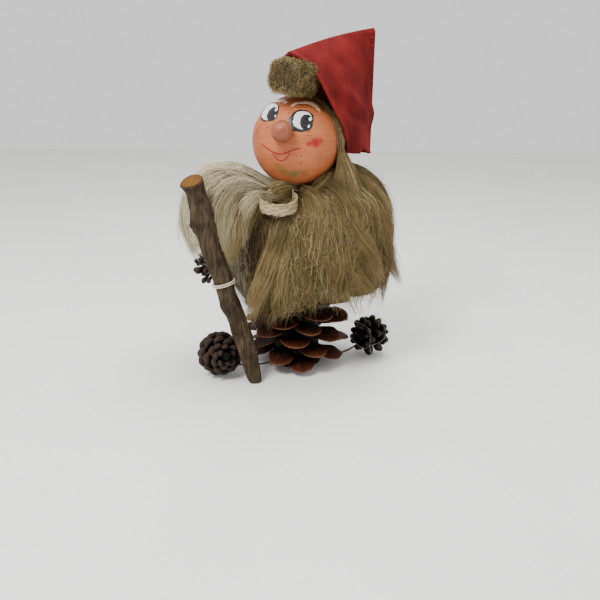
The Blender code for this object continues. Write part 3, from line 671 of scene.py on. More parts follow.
class Shape:
    """A mesh in the making: points in millimetres, faces, and numbers that the points carry."""

    def __init__(self) -> None:
        """Starts with nothing."""
        self.points: list[Array] = []
        self.faces: list[tuple[int, ...]] = []
        self.marks: dict[str, list[Array]] = {}
        self.count = 0

    def add(self, points: Array, faces: Iterable[Sequence[int]], **marks: Any) -> None:
        """Adds points and the faces that join them; marks hold a number for each point."""
        flat = np.asarray(points, float).reshape(-1, 3)
        self.points.append(flat)
        self.faces += [tuple(int(i) + self.count for i in face) for face in faces]
        for key, value in marks.items():
            spread = np.broadcast_to(np.asarray(value, float).ravel(), (len(flat),))
            self.marks.setdefault(key, []).append(spread)
        self.count += len(flat)

    def grid(self, points: Array, wrap: bool = False, ends: bool = False, **marks: Any) -> None:
        """Adds rows of points joined by quads.

        Args:
            points: rows by columns by three.
            wrap: whether each row closes on itself.
            ends: whether the first and last rows are filled.
            marks: numbers that the points carry, one for each.
        """
        rows, columns = points.shape[:2]
        faces: list[Sequence[int]] = []
        for row in range(rows - 1):
            for k in range(columns if wrap else columns - 1):
                a, b = row * columns + k, row * columns + (k + 1) % columns
                faces.append((a, b, b + columns, a + columns))
        if ends:
            faces += [tuple(range(columns))[::-1], tuple(range((rows - 1) * columns, rows * columns))]
        self.add(points, faces, **marks)

    def build(self, name: str, finish: Any, smooth: float = 60.0) -> Any:
        """Makes the object.

        Args:
            name: the piece's name.
            finish: its material.
            smooth: the sharpest corner, in degrees, that is shaded smooth.
        Returns:
            The object, at the origin, with its faces outwards.
        """
        mesh = bpy.data.meshes.new(name)
        mesh.from_pydata(np.concatenate(self.points) * MM, [], self.faces)
        for key, parts in self.marks.items():
            layer = mesh.attributes.new(key, "FLOAT", "POINT")
            layer.data.foreach_set("value", np.concatenate(parts).astype(np.float32))
        turn_outwards(mesh)
        mesh.shade_smooth()
        mesh.set_sharp_from_angle(angle=math.radians(smooth))
        return link(name, mesh, finish)


def turn_outwards(mesh: Any) -> None:
    """Makes the faces agree and point outwards."""
    shape = bmesh.new()
    shape.from_mesh(mesh)
    bmesh.ops.recalc_face_normals(shape, faces=shape.faces)
    shape.to_mesh(mesh)
    shape.free()


def link(name: str, data: Any, finish: Any = None) -> Any:
    """Links an object to the scene, with its finish."""
    obj = bpy.data.objects.new(name, data)
    bpy.context.scene.collection.objects.link(obj)
    if finish is not None:
        obj.data.materials.append(finish)
    return obj


def lines_object(name: str, paths: Array, thick: Array, tint: Array) -> Any:
    """Lines for the strand recipe.

    Args:
        name: the piece's name.
        paths: lines by points by three, in millimetres.
        thick: lines by points, as shares of the recipe's radius.
        tint: one number for each line.
    Returns:
        An object of edges that carry thick, along and tint.
    """
    count, steps = paths.shape[:2]
    start = (np.arange(count) * steps)[:, None] + np.arange(steps - 1)
    edges = np.stack([start, start + 1], axis=-1).reshape(-1, 2)
    mesh = bpy.data.meshes.new(name)
    mesh.vertices.add(count * steps)
    mesh.vertices.foreach_set("co", (paths * MM).astype(np.float32).ravel())
    mesh.edges.add(len(edges))
    mesh.edges.foreach_set("vertices", edges.astype(np.int32).ravel())
    along = np.broadcast_to(np.linspace(0, 1, steps), (count, steps))
    for key, value in (("thick", thick), ("along", along), ("tint", np.repeat(tint, steps))):
        layer = mesh.attributes.new(key, "FLOAT", "POINT")
        layer.data.foreach_set("value", np.ascontiguousarray(value, np.float32).ravel())
    mesh.update()
    return link(name, mesh)


@dataclass
class Shop:
    """The recipes, and the finishes already made, that all pieces share."""

    strands: Recipe
    scatter: Recipe
    made: dict[str, Any]

    def finish(self, finish: Any) -> Any:
        """The material of a finish, made once."""
        if finish.name not in self.made:
            self.made[finish.name] = finish.build()
        return self.made[finish.name]

    def hair(self, name: str, paths: Array, tint: Array, radius: float, finish: Any, taper: float = 0.25) -> Any:
        """Fine hairs along paths, thinner at the tip."""
        t = np.linspace(0, 1, paths.shape[1])
        thick = np.broadcast_to(1 - (1 - taper) * t**2.5, paths.shape[:2])
        obj = lines_object(name, paths, thick, tint)
        return self.strands.run(obj, Radius=radius * MM, Sides=3, Finish=self.finish(finish))

    def yarn(self, name: str, path: Array, radius: float, plies: int, pitch: float, finish: Any) -> Any:
        """A twisted cord along a path.

        Args:
            name: the piece's name.
            path: the cord's middle, in millimetres.
            radius: the whole cord's radius.
            plies: how many strands are twisted together.
            pitch: the length of one twist.
            finish: its finish.
        Returns:
            The object.
        """
        steps = np.concatenate([[0], np.cumsum(np.linalg.norm(np.diff(path, axis=0), axis=1))])
        way = unit(np.gradient(path, axis=0))
        side = unit(np.cross(way, [0.31, 0.17, 0.93]))
        other = np.cross(way, side)
        ply = radius * 0.54
        paths = []
        for k in range(plies):
            angle = steps / pitch * 2 * math.pi + 2 * math.pi * k / plies
            out = side * np.cos(angle)[:, None] + other * np.sin(angle)[:, None]
            paths.append(path + out * (radius - ply))
        obj = lines_object(name, np.array(paths), np.ones((plies, len(path))), np.linspace(0.3, 0.7, plies))
        return self.strands.run(obj, Radius=ply * MM, Sides=7, Finish=self.finish(finish))


def place_piece(obj: Any, body: Body, slot: Slot, *nodes: str) -> Any:
    """Sets a piece on its body, hides the solids that it stands for, and reports it."""
    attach(obj, body.value)
    if nodes:
        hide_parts(*nodes)
    LOG.info("%s: %d faces", obj.name, len(obj.data.polygons))
    return obj


# ---------------------------------------------------------------- cones


def outline_radius(z: float) -> float:
    """How far the body cone's scales reach from its axis at a height."""
    t = max(0.0, min(1.0, z / BODY_HEIGHT))
    return BODY_TOP + (BODY_RADIUS - BODY_TOP) * math.sin(math.pi * (0.30 + 0.66 * t)) ** 0.9


@dataclass(frozen=True)
class ScaleForm:
    """One woody scale, 1 long and 1 in half width, with its thickness as the unit of height."""

    claw: float = 0.34
    arc: float = 0.5
    cup: float = 0.9
    droop: float = 0.4
    root_thick: float = 1.3
    tip_thick: float = 0.55
    knob: float = 0.0
    along: int = 6
    across: int = 8

    def build(self, name: str) -> Any:
        """Makes the scale that the recipe copies: y runs from claw to rim, z is up."""
        t, s = np.meshgrid(np.linspace(0, 1, self.along + 1), np.linspace(-1, 1, self.across + 1), indexing="ij")
        wide = self.claw + (1 - self.claw) * np.sin(np.minimum(1, t / 0.66) * math.pi / 2) ** 1.3
        round_off = math.radians(80)
        wide = wide * np.sin(s * round_off) / math.sin(round_off)
        y = t * (1 - self.arc * (1 - np.cos(s * round_off)) * t)
        middle = self.cup * s**2 * t - self.droop * t**2
        thick = (self.root_thick + (self.tip_thick - self.root_thick) * t) * (1 - 0.55 * np.abs(s) ** 3)
        thick = thick + self.knob * np.exp(-(((t - 0.86) / 0.16) ** 2)) * (1 - 0.6 * s**2)
        thick = thick * np.where(t > 0.99, 0.55, 1.0)
        top = np.stack([wide, y, middle + thick * 0.6], axis=-1)
        low = np.stack([wide, y, middle - thick * 0.4], axis=-1)
        shape = Shape()
        rows, columns = t.shape
        loops = np.concatenate([top, low[:, ::-1]], axis=1)
        marks = {
            "along": np.concatenate([t, t[:, ::-1]], axis=1),
            "side": np.concatenate([s, s[:, ::-1]], axis=1),
        }
        faces = []
        width = 2 * columns
        for row in range(rows - 1):
            for k in range(width):
                a, b = row * width + k, row * width + (k + 1) % width
                faces.append((a, b, b + width, a + width))
        for row in (0, rows - 1):
            for k in range(columns - 1):
                a = row * width
                faces.append((a + k, a + k + 1, a + width - 2 - k, a + width - 1 - k))
        shape.add(loops / MM, faces, **marks)
        return shape.build(name, None, 40)


@dataclass
class PineCone:
    """A cone: a core, and scales set on it by the golden angle from its foot to its top.

    first and last are the lowest and highest scales' heights, low_lean and high_lean their leans in degrees, and
    half_width is a share of how far a scale reaches.
    """

    name: str
    height: float
    scales: int
    first: float
    last: float
    thick: float
    low_lean: float
    high_lean: float
    half_width: float
    uneven: float
    form: ScaleForm
    finish: ConeFinish
    slot: Slot
    seed: int
    wave: float = 190.0

    def core(self, z: float) -> float:
        """The core's radius at a height."""
        return BODY_BASE + (BODY_TOP - BODY_BASE) * z / self.height

    def tip(self, z: float) -> float:
        """How far the scales reach at a height."""
        return outline_radius(z)

    def scale_rows(self, turn: Matrix, centre: Array) -> tuple[Array, Array, Array, Array]:
        """The scales' places.

        Args:
            turn: how the cone is turned.
            centre: where the foot of its axis is, in millimetres.
        Returns:
            Where each scale is rooted, how it is turned, its size, and its tint.
        """
        rng = np.random.default_rng(self.seed)
        places, turns, sizes = [], [], []
        for i in range(self.scales):
            share = (i + 0.5) / self.scales
            z = self.first + (self.last - self.first) * share
            angle = i * GOLDEN_ANGLE + rng.normal(0, 0.05)
            lean = math.radians(self.low_lean + (self.high_lean - self.low_lean) * share + rng.normal(0, 3.5))
            flat = Vector((math.cos(angle), math.sin(angle), 0))
            out = flat * math.cos(lean) + Vector((0, 0, math.sin(lean)))
            across = Vector((math.sin(angle), -math.cos(angle), 0))
            root = self.core(z) - 1.5
            reach = self.tip(z) - root
            for _ in range(12):
                reach = (reach + (self.tip(z + reach * math.sin(lean)) - root) / math.cos(lean)) / 2
            reach *= 1 - abs(rng.normal(0, 0.025))
            basis = Matrix((across, out, across.cross(out))).transposed()
            basis = turn @ basis @ Matrix.Rotation(rng.normal(0, 0.12), 3, "Y")
            place = turn @ (flat * root + Vector((0, 0, z)))
            wide = self.half_width * self.tip(z + reach * math.sin(lean)) * rng.uniform(0.9, 1.08)
            places.append(np.array(place) + centre)
            turns.append(tuple(basis.to_euler()))
            sizes.append((wide * MM, reach * MM, self.thick * MM * rng.uniform(0.85, 1.2)))
        return np.array(places), np.array(turns), np.array(sizes), rng.uniform(0, 1, self.scales)

    def build(self, shop: Shop, turn: Matrix | None = None, centre: Array | None = None) -> None:
        """Makes the cone's scales and its core.

        Args:
            shop: the shared recipes and finishes.
            turn: how the cone is turned, upright if it is left out.
            centre: where the foot of its axis is, in millimetres.
        """
        turn = turn or Matrix.Identity(3)
        centre = np.zeros(3) if centre is None else centre
        places, turns, sizes, tint = self.scale_rows(turn, centre)
        mesh = bpy.data.meshes.new(self.name)
        mesh.from_pydata(places * MM, [], [])
        for key, kind, value in (
            ("turn", "FLOAT_VECTOR", turns), ("size", "FLOAT_VECTOR", sizes), ("tint", "FLOAT", tint),
        ):
            layer = mesh.attributes.new(key, kind, "POINT")
            part = "value" if kind == "FLOAT" else "vector"
            layer.data.foreach_set(part, np.asarray(value, np.float32).ravel())
        piece = self.form.build(self.name + "_pattern")
        finish = shop.finish(self.finish)
        cone = link(self.name + "_scales", mesh)
        shop.scatter.run(cone, Piece=piece, Uneven=self.uneven * MM, Wave=self.wave, Finish=finish)
        turn_outwards(cone.data)
        cone.data.shade_smooth()
        cone.data.set_sharp_from_angle(angle=math.radians(42))
        bpy.data.objects.remove(piece)
        place_piece(cone, Body.FIGURE, self.slot, self.name)
        place_piece(self.core_piece(turn, centre, finish), Body.FIGURE, self.slot)

    def core_piece(self, turn: Matrix, centre: Array, finish: Any) -> Any:
        """The core under the scales.

        Args:
            turn: how the cone is turned.
            centre: where the foot of its axis is, in millimetres.
            finish: its material.
        Returns:
            The object.
        """
        around = np.linspace(0, 2 * math.pi, 24, endpoint=False)
        rows = []
        for z in np.linspace(0, self.height, 14):
            r = self.core(z)
            ring = [turn @ Vector((math.cos(a) * r, math.sin(a) * r, float(z))) for a in around]
            rows.append(np.array([tuple(p) for p in ring]) + centre)
        core = Shape()
        # along 0.1 gives the core the scales' near-black root colour, painted shade inside the cone.
        core.grid(np.array(rows), wrap=True, ends=True, along=0.1, side=0.0, tint=0.4)
        return core.build(self.name + "_core", finish)


@dataclass
class SmallCone(PineCone):
    """A round cone: its scales fan out from its middle to a ball's outline."""

    radius: float = 18.0

    def core(self, z: float) -> float:
        """The core's radius at a height."""
        return 0.34 * self.radius * math.sin(math.pi * (0.16 + 0.68 * max(0, min(1, z / self.height))))

    def tip(self, z: float) -> float:
        """How far the scales reach at a height."""
        return math.sqrt(max(self.radius**2 - (z - self.height / 2) ** 2, (0.3 * self.radius) ** 2))


# Each root colour is near black: painted shade deep between the scales.
BIG_CONE = ConeFinish("cone_scale", (0.0016, 0.0008, 0.0006), (0.065, 0.015, 0.0045), (0.14, 0.055, 0.026))
SMALL_CONE = ConeFinish("small_cone", (0.001, 0.0007, 0.0005), (0.013, 0.006, 0.0035), (0.042, 0.024, 0.016), 0.8)


@dataclass(frozen=True)
class ConePlace:
    """A foot or a hand: where its middle is, its radius, the way it opens, and its scales."""

    name: str
    centre: tuple[float, float, float]
    radius: float
    axis: tuple[float, float, float]
    scales: int
    spread: float
    half_width: float
    form: ScaleForm
    seed: int

    def build(self, shop: Shop) -> None:
        """Makes the cone."""
        length = 1.7 * self.radius
        cone = SmallCone(
            name=self.name, height=length, scales=self.scales, first=0.12 * length, last=0.9 * length,
            thick=0.16 * self.radius, low_lean=-self.spread, high_lean=self.spread, half_width=self.half_width,
            uneven=1.1, form=self.form, finish=SMALL_CONE, slot=Slot.SMALL_CONE, seed=self.seed, wave=420.0,
            radius=self.radius,
        )
        turn = Vector(self.axis).normalized().to_track_quat("Z", "Y").to_matrix()
        foot = np.array(self.centre) + np.array(turn @ Vector((0, 0, -length / 2)))
        cone.build(shop, turn, foot)


@dataclass
class Cones:
    """The body cone and the four small ones."""

    chunky: ScaleForm = ScaleForm(0.4, 0.4, 0.15, 0.0, 0.8, 0.9, 0.9, 5, 4)
    finger: ScaleForm = ScaleForm(0.6, 0.4, 0.2, -0.5, 0.8, 0.9, 0.8, 6, 4)
    body: PineCone = field(default_factory=lambda: PineCone(
        name="body_cone", height=BODY_HEIGHT, scales=96, first=8, last=BODY_HEIGHT - 8, thick=2.3, low_lean=-13,
        high_lean=40, half_width=0.262, uneven=1.2, form=ScaleForm(), finish=BIG_CONE, slot=Slot.CONE, seed=11,
    ))

    def build(self, shop: Shop) -> None:
        """Makes all five."""
        self.body.build(shop)
        for place in (
            ConePlace("foot_cone_right", (-64.8, -35, 20.2), 19.4, (0.42, -0.88, 0.2), 58, 50, 0.3, self.chunky, 3),
            ConePlace("foot_cone_left", (66, 9, 19.2), 18.5, (-0.55, -0.75, 0.2), 44, 42, 0.2, self.finger, 5),
            ConePlace("hand_cone_right", (-71.2, -20.9, 90.5), 15, (-0.72, 0.55, 0.5), 26, 50, 0.22, self.finger, 7),
            ConePlace("hand_cone_left", (68, -5, 82), 12, (0.1, -0.1, -1), 30, 40, 0.25, self.chunky, 9),
        ):
            place.build(shop)


# ---------------------------------------------------------------- fur


@dataclass(frozen=True)
class Lobe:
    """One part of the mantle: its span round the body in degrees, and how its hair lies.

    depth is how far its wad lies under the form, fan spreads the hairs, pull gathers them in tufts, stray is the
    share that runs loose in the coat, tone is its middle tint, and loose counts the hairs of its tangle.
    """

    name: str
    first: float
    last: float
    hairs: int
    tufts: int
    finish: FurFinish
    wad: WadFinish
    slot: Slot
    depth: float = 4.0
    fan: float = 0.1
    pull: float = 0.8
    stray: float = 0.1
    tone: float = 0.5
    seed: int = 1
    loose: int = 0


@dataclass(frozen=True)
class Lock:
    """A lock of hair: its middle's stops, and its radius at the first, the middle and the last."""

    path: tuple[tuple[float, float, float], ...]
    radii: tuple[float, float, float]
    hairs: int
    tone: float


# The last number of each darkens the hairs' roots: painted shade within the coat.
STRAW = FurFinish("fur", ((0.045, 0.028, 0.011), (0.13, 0.088, 0.034), (0.24, 0.165, 0.06), (0.48, 0.38, 0.2)), 0.45)
CREAM = FurFinish("pale_fur", ((0.16, 0.12, 0.06), (0.34, 0.28, 0.15), (0.56, 0.48, 0.3), (0.8, 0.74, 0.56)), 0.65)
# Both wads are toned darker than their coats: matted hair, and painted shade in the gaps between the hairs.
STRAW_WAD = WadFinish("fur_wad", (0.02, 0.014, 0.006), (0.13, 0.092, 0.04))
CREAM_WAD = WadFinish("pale_fur_wad", (0.1, 0.075, 0.035), (0.36, 0.29, 0.16))
# Painted shadow: a near-black wad for the beard and the chest, deep under their hairs.
SHADOW_WAD = WadFinish("dark_wad", (0.004, 0.003, 0.002), (0.024, 0.016, 0.008))


class Mantle:
    """The fur's outer form: over the shoulders' ridge and down the outside, all round the body."""

    START = 144
    # Angle, then the ridge's radius and height, the widest radius and its height, and the hem's.
    ROWS = (
        (144, 42, 160, 67, 124, 59, 82), (156, 50, 163, 80, 130, 70, 92), (168, 58, 167, 92, 136, 82, 98),
        (180, 62, 169, 96, 138, 88, 100), (191, 62, 170, 94, 138, 87, 99), (202, 56, 167, 81, 136, 74, 88),
        (213, 46, 160, 64, 126, 59, 64), (222, 36, 153, 56, 116, 53, 54), (231, 31, 149, 53, 112, 51, 50),
        (236, 29, 147, 53, 110, 51, 52), (245, 28, 146, 55, 105, 55, 56), (260, 28, 146, 57, 106, 57, 66),
        (275, 28, 149, 58, 107, 58, 71), (290, 30, 153, 60, 110, 59, 74), (304, 33, 156, 63, 112, 60, 73),
        (318, 39, 158, 69, 118, 65, 66), (332, 45, 160, 74, 122, 69, 64), (346, 50, 161, 77, 122, 74, 66),
        (358, 52, 161, 78, 122, 76, 70), (372, 51, 160, 77, 120, 74, 70), (386, 47, 158, 73, 116, 68, 70),
        (399, 42, 156, 67, 114, 61, 70), (415, 36, 154, 60, 112, 56, 66), (432, 33, 153, 57, 110, 54, 62),
        (450, 32, 153, 56, 110, 53, 60), (468, 33, 154, 57, 112, 54, 64), (486, 36, 156, 60, 116, 56, 70),
        (504, 42, 160, 67, 124, 59, 82),
    )
    SAMPLES = 49
    # Points along a hair, and the form's usual radius and its length from the neck to the hem.
    STEPS = 8
    MIDDLE_RADIUS, DROP = 62, 105

    def __init__(self) -> None:
        """Works out each row's line from the neck to the hem."""
        self.angles = np.array([row[0] for row in self.ROWS], float)
        self.lines = np.array([self.line(row) for row in self.ROWS])

    def line(self, row: Sequence[float]) -> Array:
        """One row's radius and height at even steps from the neck to the hem."""
        _, ridge_r, ridge_z, wide_r, wide_z, hem_r, hem_z = row
        neck_z = min(ridge_z - 6, BODY_HEIGHT)
        stops = np.array([
            (max(outline_radius(neck_z) + 1.6, 15) + 3, neck_z + 2),
            (ridge_r * 0.72, ridge_z - 0.35 * (ridge_z - neck_z)), (ridge_r, ridge_z),
            (ridge_r + 0.6 * (wide_r - ridge_r), ridge_z - 0.22 * (ridge_z - wide_z)), (wide_r, wide_z),
            ((wide_r + hem_r) / 2, (wide_z + hem_z) / 2), (hem_r, hem_z),
        ])
        walk = np.concatenate([[0], np.cumsum(np.linalg.norm(np.diff(stops, axis=0), axis=1))])
        return hermite(walk, stops, np.linspace(0, walk[-1], self.SAMPLES))

    def flat(self, angle: Array, s: Array) -> Array:
        """Radius and height on the form.

        Args:
            angle: round the body, in degrees.
            s: the share of the way from the neck to the hem; past 1 the line runs straight on.
        Returns:
            Both, last.
        """
        turned = (angle - self.START) % 360 + self.START
        k = np.clip(np.searchsorted(self.angles, turned, side="right") - 1, 0, len(self.angles) - 2)
        t = ((turned - self.angles[k]) / (self.angles[k + 1] - self.angles[k]))[..., None]
        at = np.clip(s, 0, 1) * (self.SAMPLES - 1)
        j = np.minimum(at.astype(int), self.SAMPLES - 2)
        u = (at - j)[..., None]
        low = self.lines[k, j] * (1 - u) + self.lines[k, j + 1] * u
        high = self.lines[k + 1, j] * (1 - u) + self.lines[k + 1, j + 1] * u
        here = low * (1 - t) + high * t
        run = (self.lines[k, -1] - self.lines[k, -4]) * (self.SAMPLES - 1) / 3
        return here + run * np.maximum(0, s - 1)[..., None]

    def place(self, angle: Array, s: Array, lift: Array) -> Array:
        """Points near the form.

        Args:
            angle: round the body, in degrees.
            s: the share of the way from the neck to the hem.
            lift: how far they are off the form, in millimetres.
        Returns:
            The points, in millimetres.
        """
        here = self.flat(angle, s)
        way = self.flat(angle, s + 0.02) - self.flat(angle, np.maximum(s - 0.02, 0))
        way /= np.maximum(np.linalg.norm(way, axis=-1, keepdims=True), 1e-6)
        radius = here[..., 0] - way[..., 1] * lift
        height = here[..., 1] + way[..., 0] * lift
        turn = np.radians(angle)
        return np.stack([radius * np.cos(turn), radius * np.sin(turn), height], axis=-1)

    def coat(self, lobe: Lobe) -> tuple[Array, Array]:
        """A lobe's hairs, gathered in tufts.

        Args:
            lobe: the part of the mantle.
        Returns:
            The hairs' paths and tints.
        """
        rng = np.random.default_rng(lobe.seed)
        t = np.linspace(0, 1, self.STEPS)[None]
        tuft_angle = rng.uniform(lobe.first, lobe.last, lobe.tufts)
        tuft_root = rng.beta(0.8, 1.5, lobe.tufts) * 0.72
        tuft_end = tuft_root + rng.uniform(0.3, 0.62, lobe.tufts)
        tuft_end = np.minimum(tuft_end, rng.uniform(0.93, 1.04, lobe.tufts))
        tuft_lift = rng.uniform(-3.0, 1.6, lobe.tufts)
        tuft_drift = rng.normal(0, 7, lobe.tufts)
        tuft_tint = rng.normal(0, 0.17, lobe.tufts)
        k = rng.integers(0, lobe.tufts, lobe.hairs)
        middle = (lobe.first + lobe.last) / 2
        start = tuft_angle[k] + rng.normal(0, 5.5, lobe.hairs)
        root = np.clip(tuft_root[k] + rng.normal(0, 0.06, lobe.hairs), 0, 0.85)[:, None]
        end = np.clip(tuft_end[k] + rng.normal(0, 0.05, lobe.hairs), 0.15, 1.07)[:, None]
        loose = rng.uniform(0, 1, lobe.hairs)[:, None] < lobe.stray
        pull = np.where(loose, 0.1, lobe.pull) * t**1.6
        angle = start[:, None] + (tuft_angle[k] - start)[:, None] * pull
        angle = angle + (tuft_drift[k] + lobe.fan * (tuft_angle[k] - middle))[:, None] * t
        s = root + (end - root) * t
        own = rng.uniform(-4.5, 0.5, lobe.hairs)[:, None]
        arch = np.sin(t * math.pi) * rng.uniform(-0.5, 2.2, (lobe.hairs, 1))
        lift = own + (tuft_lift[k][:, None] - own) * pull + arch
        paths = self.place(angle, s, lift)
        shake = np.where(loose, 6.5, 1.8) * t
        aim = unit(rng.normal(size=(lobe.hairs, 1, 3)))
        wave = np.sin(t * rng.uniform(3.5, 9.5, (lobe.hairs, 1)) + rng.uniform(0, 6.28, (lobe.hairs, 1)))
        wave = wave * np.sqrt(t) * np.abs(rng.normal(0, 1, (lobe.hairs, 1))) * np.where(loose, 2.4, 0.9)
        near = paths + rng.normal(0, 1.5, (lobe.hairs, 1, 3))
        paths = paths + swirl(near, 42, lobe.seed) * (2.4 * t)[..., None]
        apart = paths + rng.normal(0, 60, (lobe.hairs, 1, 3))
        paths = paths + swirl(apart, 60, lobe.seed + 1) * shake[..., None]
        tint = lobe.tone + tuft_tint[k] + rng.normal(0, 0.17, lobe.hairs)
        return paths + aim * wave[..., None], tint + np.where(loose[:, 0], 0.22, 0)

    def tangle(self, lobe: Lobe) -> tuple[Array, Array]:
        """Loose hairs that wander over a lobe every way.

        Args:
            lobe: the part of the mantle.
        Returns:
            The hairs' paths and tints.
        """
        rng = np.random.default_rng(lobe.seed + 200)
        count, steps = lobe.loose, 7
        t = np.linspace(0, 1, steps)[None]
        angle = rng.uniform(lobe.first + 1, lobe.last - 1, count)[:, None]
        s = 0.04 + 0.84 * rng.beta(1.25, 0.95, count)[:, None]
        way = rng.normal(0, 0.85, (count, 1)) + rng.normal(0, 1.5, (count, 1)) * t
        stride = rng.uniform(9, 32, (count, 1)) / steps
        down = np.cumsum(np.cos(way), axis=1) * stride
        aside = np.cumsum(np.sin(way), axis=1) * stride
        own = rng.uniform(-3.0, 1.8, (count, 1))
        lift = own + np.sin(t * math.pi) * rng.uniform(-0.5, 3.0, (count, 1))
        paths = self.place(angle + np.degrees(aside / self.MIDDLE_RADIUS), s + down / self.DROP, lift)
        tint = lobe.tone + 0.12 + rng.normal(0, 0.24, count)
        return paths, tint

    def wad(self, lobe: Lobe, shop: Shop) -> Any:
        """The wad under a lobe's strands, matted hair toned darker as painted shade, or a near-black sheet of painted
        shadow under the beard and the chest: a closed form a little below the mantle's.

        Args:
            lobe: the part of the mantle.
            shop: the shared recipes and finishes.
        Returns:
            The object.
        """
        angles = np.arange(lobe.first - 1, lobe.last + 1.1, 3.0)
        s = np.linspace(0.01, 0.95, 30)
        a, b = np.meshgrid(angles, s, indexing="ij")
        outer = self.place(a, b, np.full(a.shape, -lobe.depth))
        outer = outer + swirl(outer, 13, lobe.seed + 7) * 1.1
        inner = []
        for row, angle in zip(outer, np.radians(angles)):
            heights = np.linspace(row[-1, 2] + 1.5, min(row[0, 2], BODY_HEIGHT) - 1, 9)
            wall = np.array([outline_radius(z) + 1.0 for z in heights])
            inner.append(np.stack([wall * math.cos(angle), wall * math.sin(angle), heights], axis=-1))
        rows = np.concatenate([outer, np.array(inner)], axis=1)
        mark = np.repeat((angles / 360)[:, None], rows.shape[1], axis=1)
        shape = Shape()
        shape.grid(rows, wrap=True, ends=True, round=mark)
        return shape.build(lobe.name + "_wad", shop.finish(lobe.wad), 80)


def lock_hairs(locks: Sequence[Lock], seed: int, steps: int = 7) -> tuple[Array, Array]:
    """The hairs of some locks, which gather at each lock's tip.

    Args:
        locks: the locks.
        seed: the random draws' own number.
        steps: points along a hair.
    Returns:
        The hairs' paths and tints.
    """
    rng = np.random.default_rng(seed)
    paths, tints = [], []
    for lock in locks:
        fine = 40
        guide = smooth_path(lock.path, fine)
        way = unit(np.gradient(guide, axis=0))
        side = unit(np.cross(way, [0.0, 1.0, 0.0]))
        depth = np.cross(way, side)
        radius = hermite(np.array([0.0, 0.5, 1.0]), np.array(lock.radii, float), np.linspace(0, 1, fine))
        first = rng.uniform(0, 0.4, lock.hairs)[:, None]
        last = rng.uniform(0.72, 1.0, lock.hairs)[:, None]
        at = (first + (last - first) * np.linspace(0, 1, steps)[None]) * (fine - 1)
        reach = np.sqrt(rng.uniform(0, 1, (lock.hairs, 1)))
        turn = rng.uniform(0, 2 * math.pi, (lock.hairs, 1))

        def along(values: Array) -> Array:
            """Values of the guide at each hair's own places."""
            columns = [np.interp(at, np.arange(fine), column) for column in values.T]
            return np.stack(columns, axis=-1)

        wide = along(radius[:, None])[..., 0] * reach
        hair = along(guide) + along(side) * (wide * np.cos(turn))[..., None]
        hair = hair + along(depth) * (wide * np.sin(turn) * 0.6)[..., None]
        t = np.linspace(0, 1, steps)[None, :, None]
        hair = hair + swirl(hair, 30, seed) * 1.2 * t
        shake = np.where(rng.uniform(size=(lock.hairs, 1, 1)) < 0.3, 7.0, 2.4)
        apart = hair + rng.normal(0, 50, (lock.hairs, 1, 3))
        paths.append(hair + swirl(apart, 50, seed + 3) * shake * t)
        tints.append(lock.tone + rng.normal(0, 0.13, lock.hairs))
    return np.concatenate(paths), np.concatenate(tints)


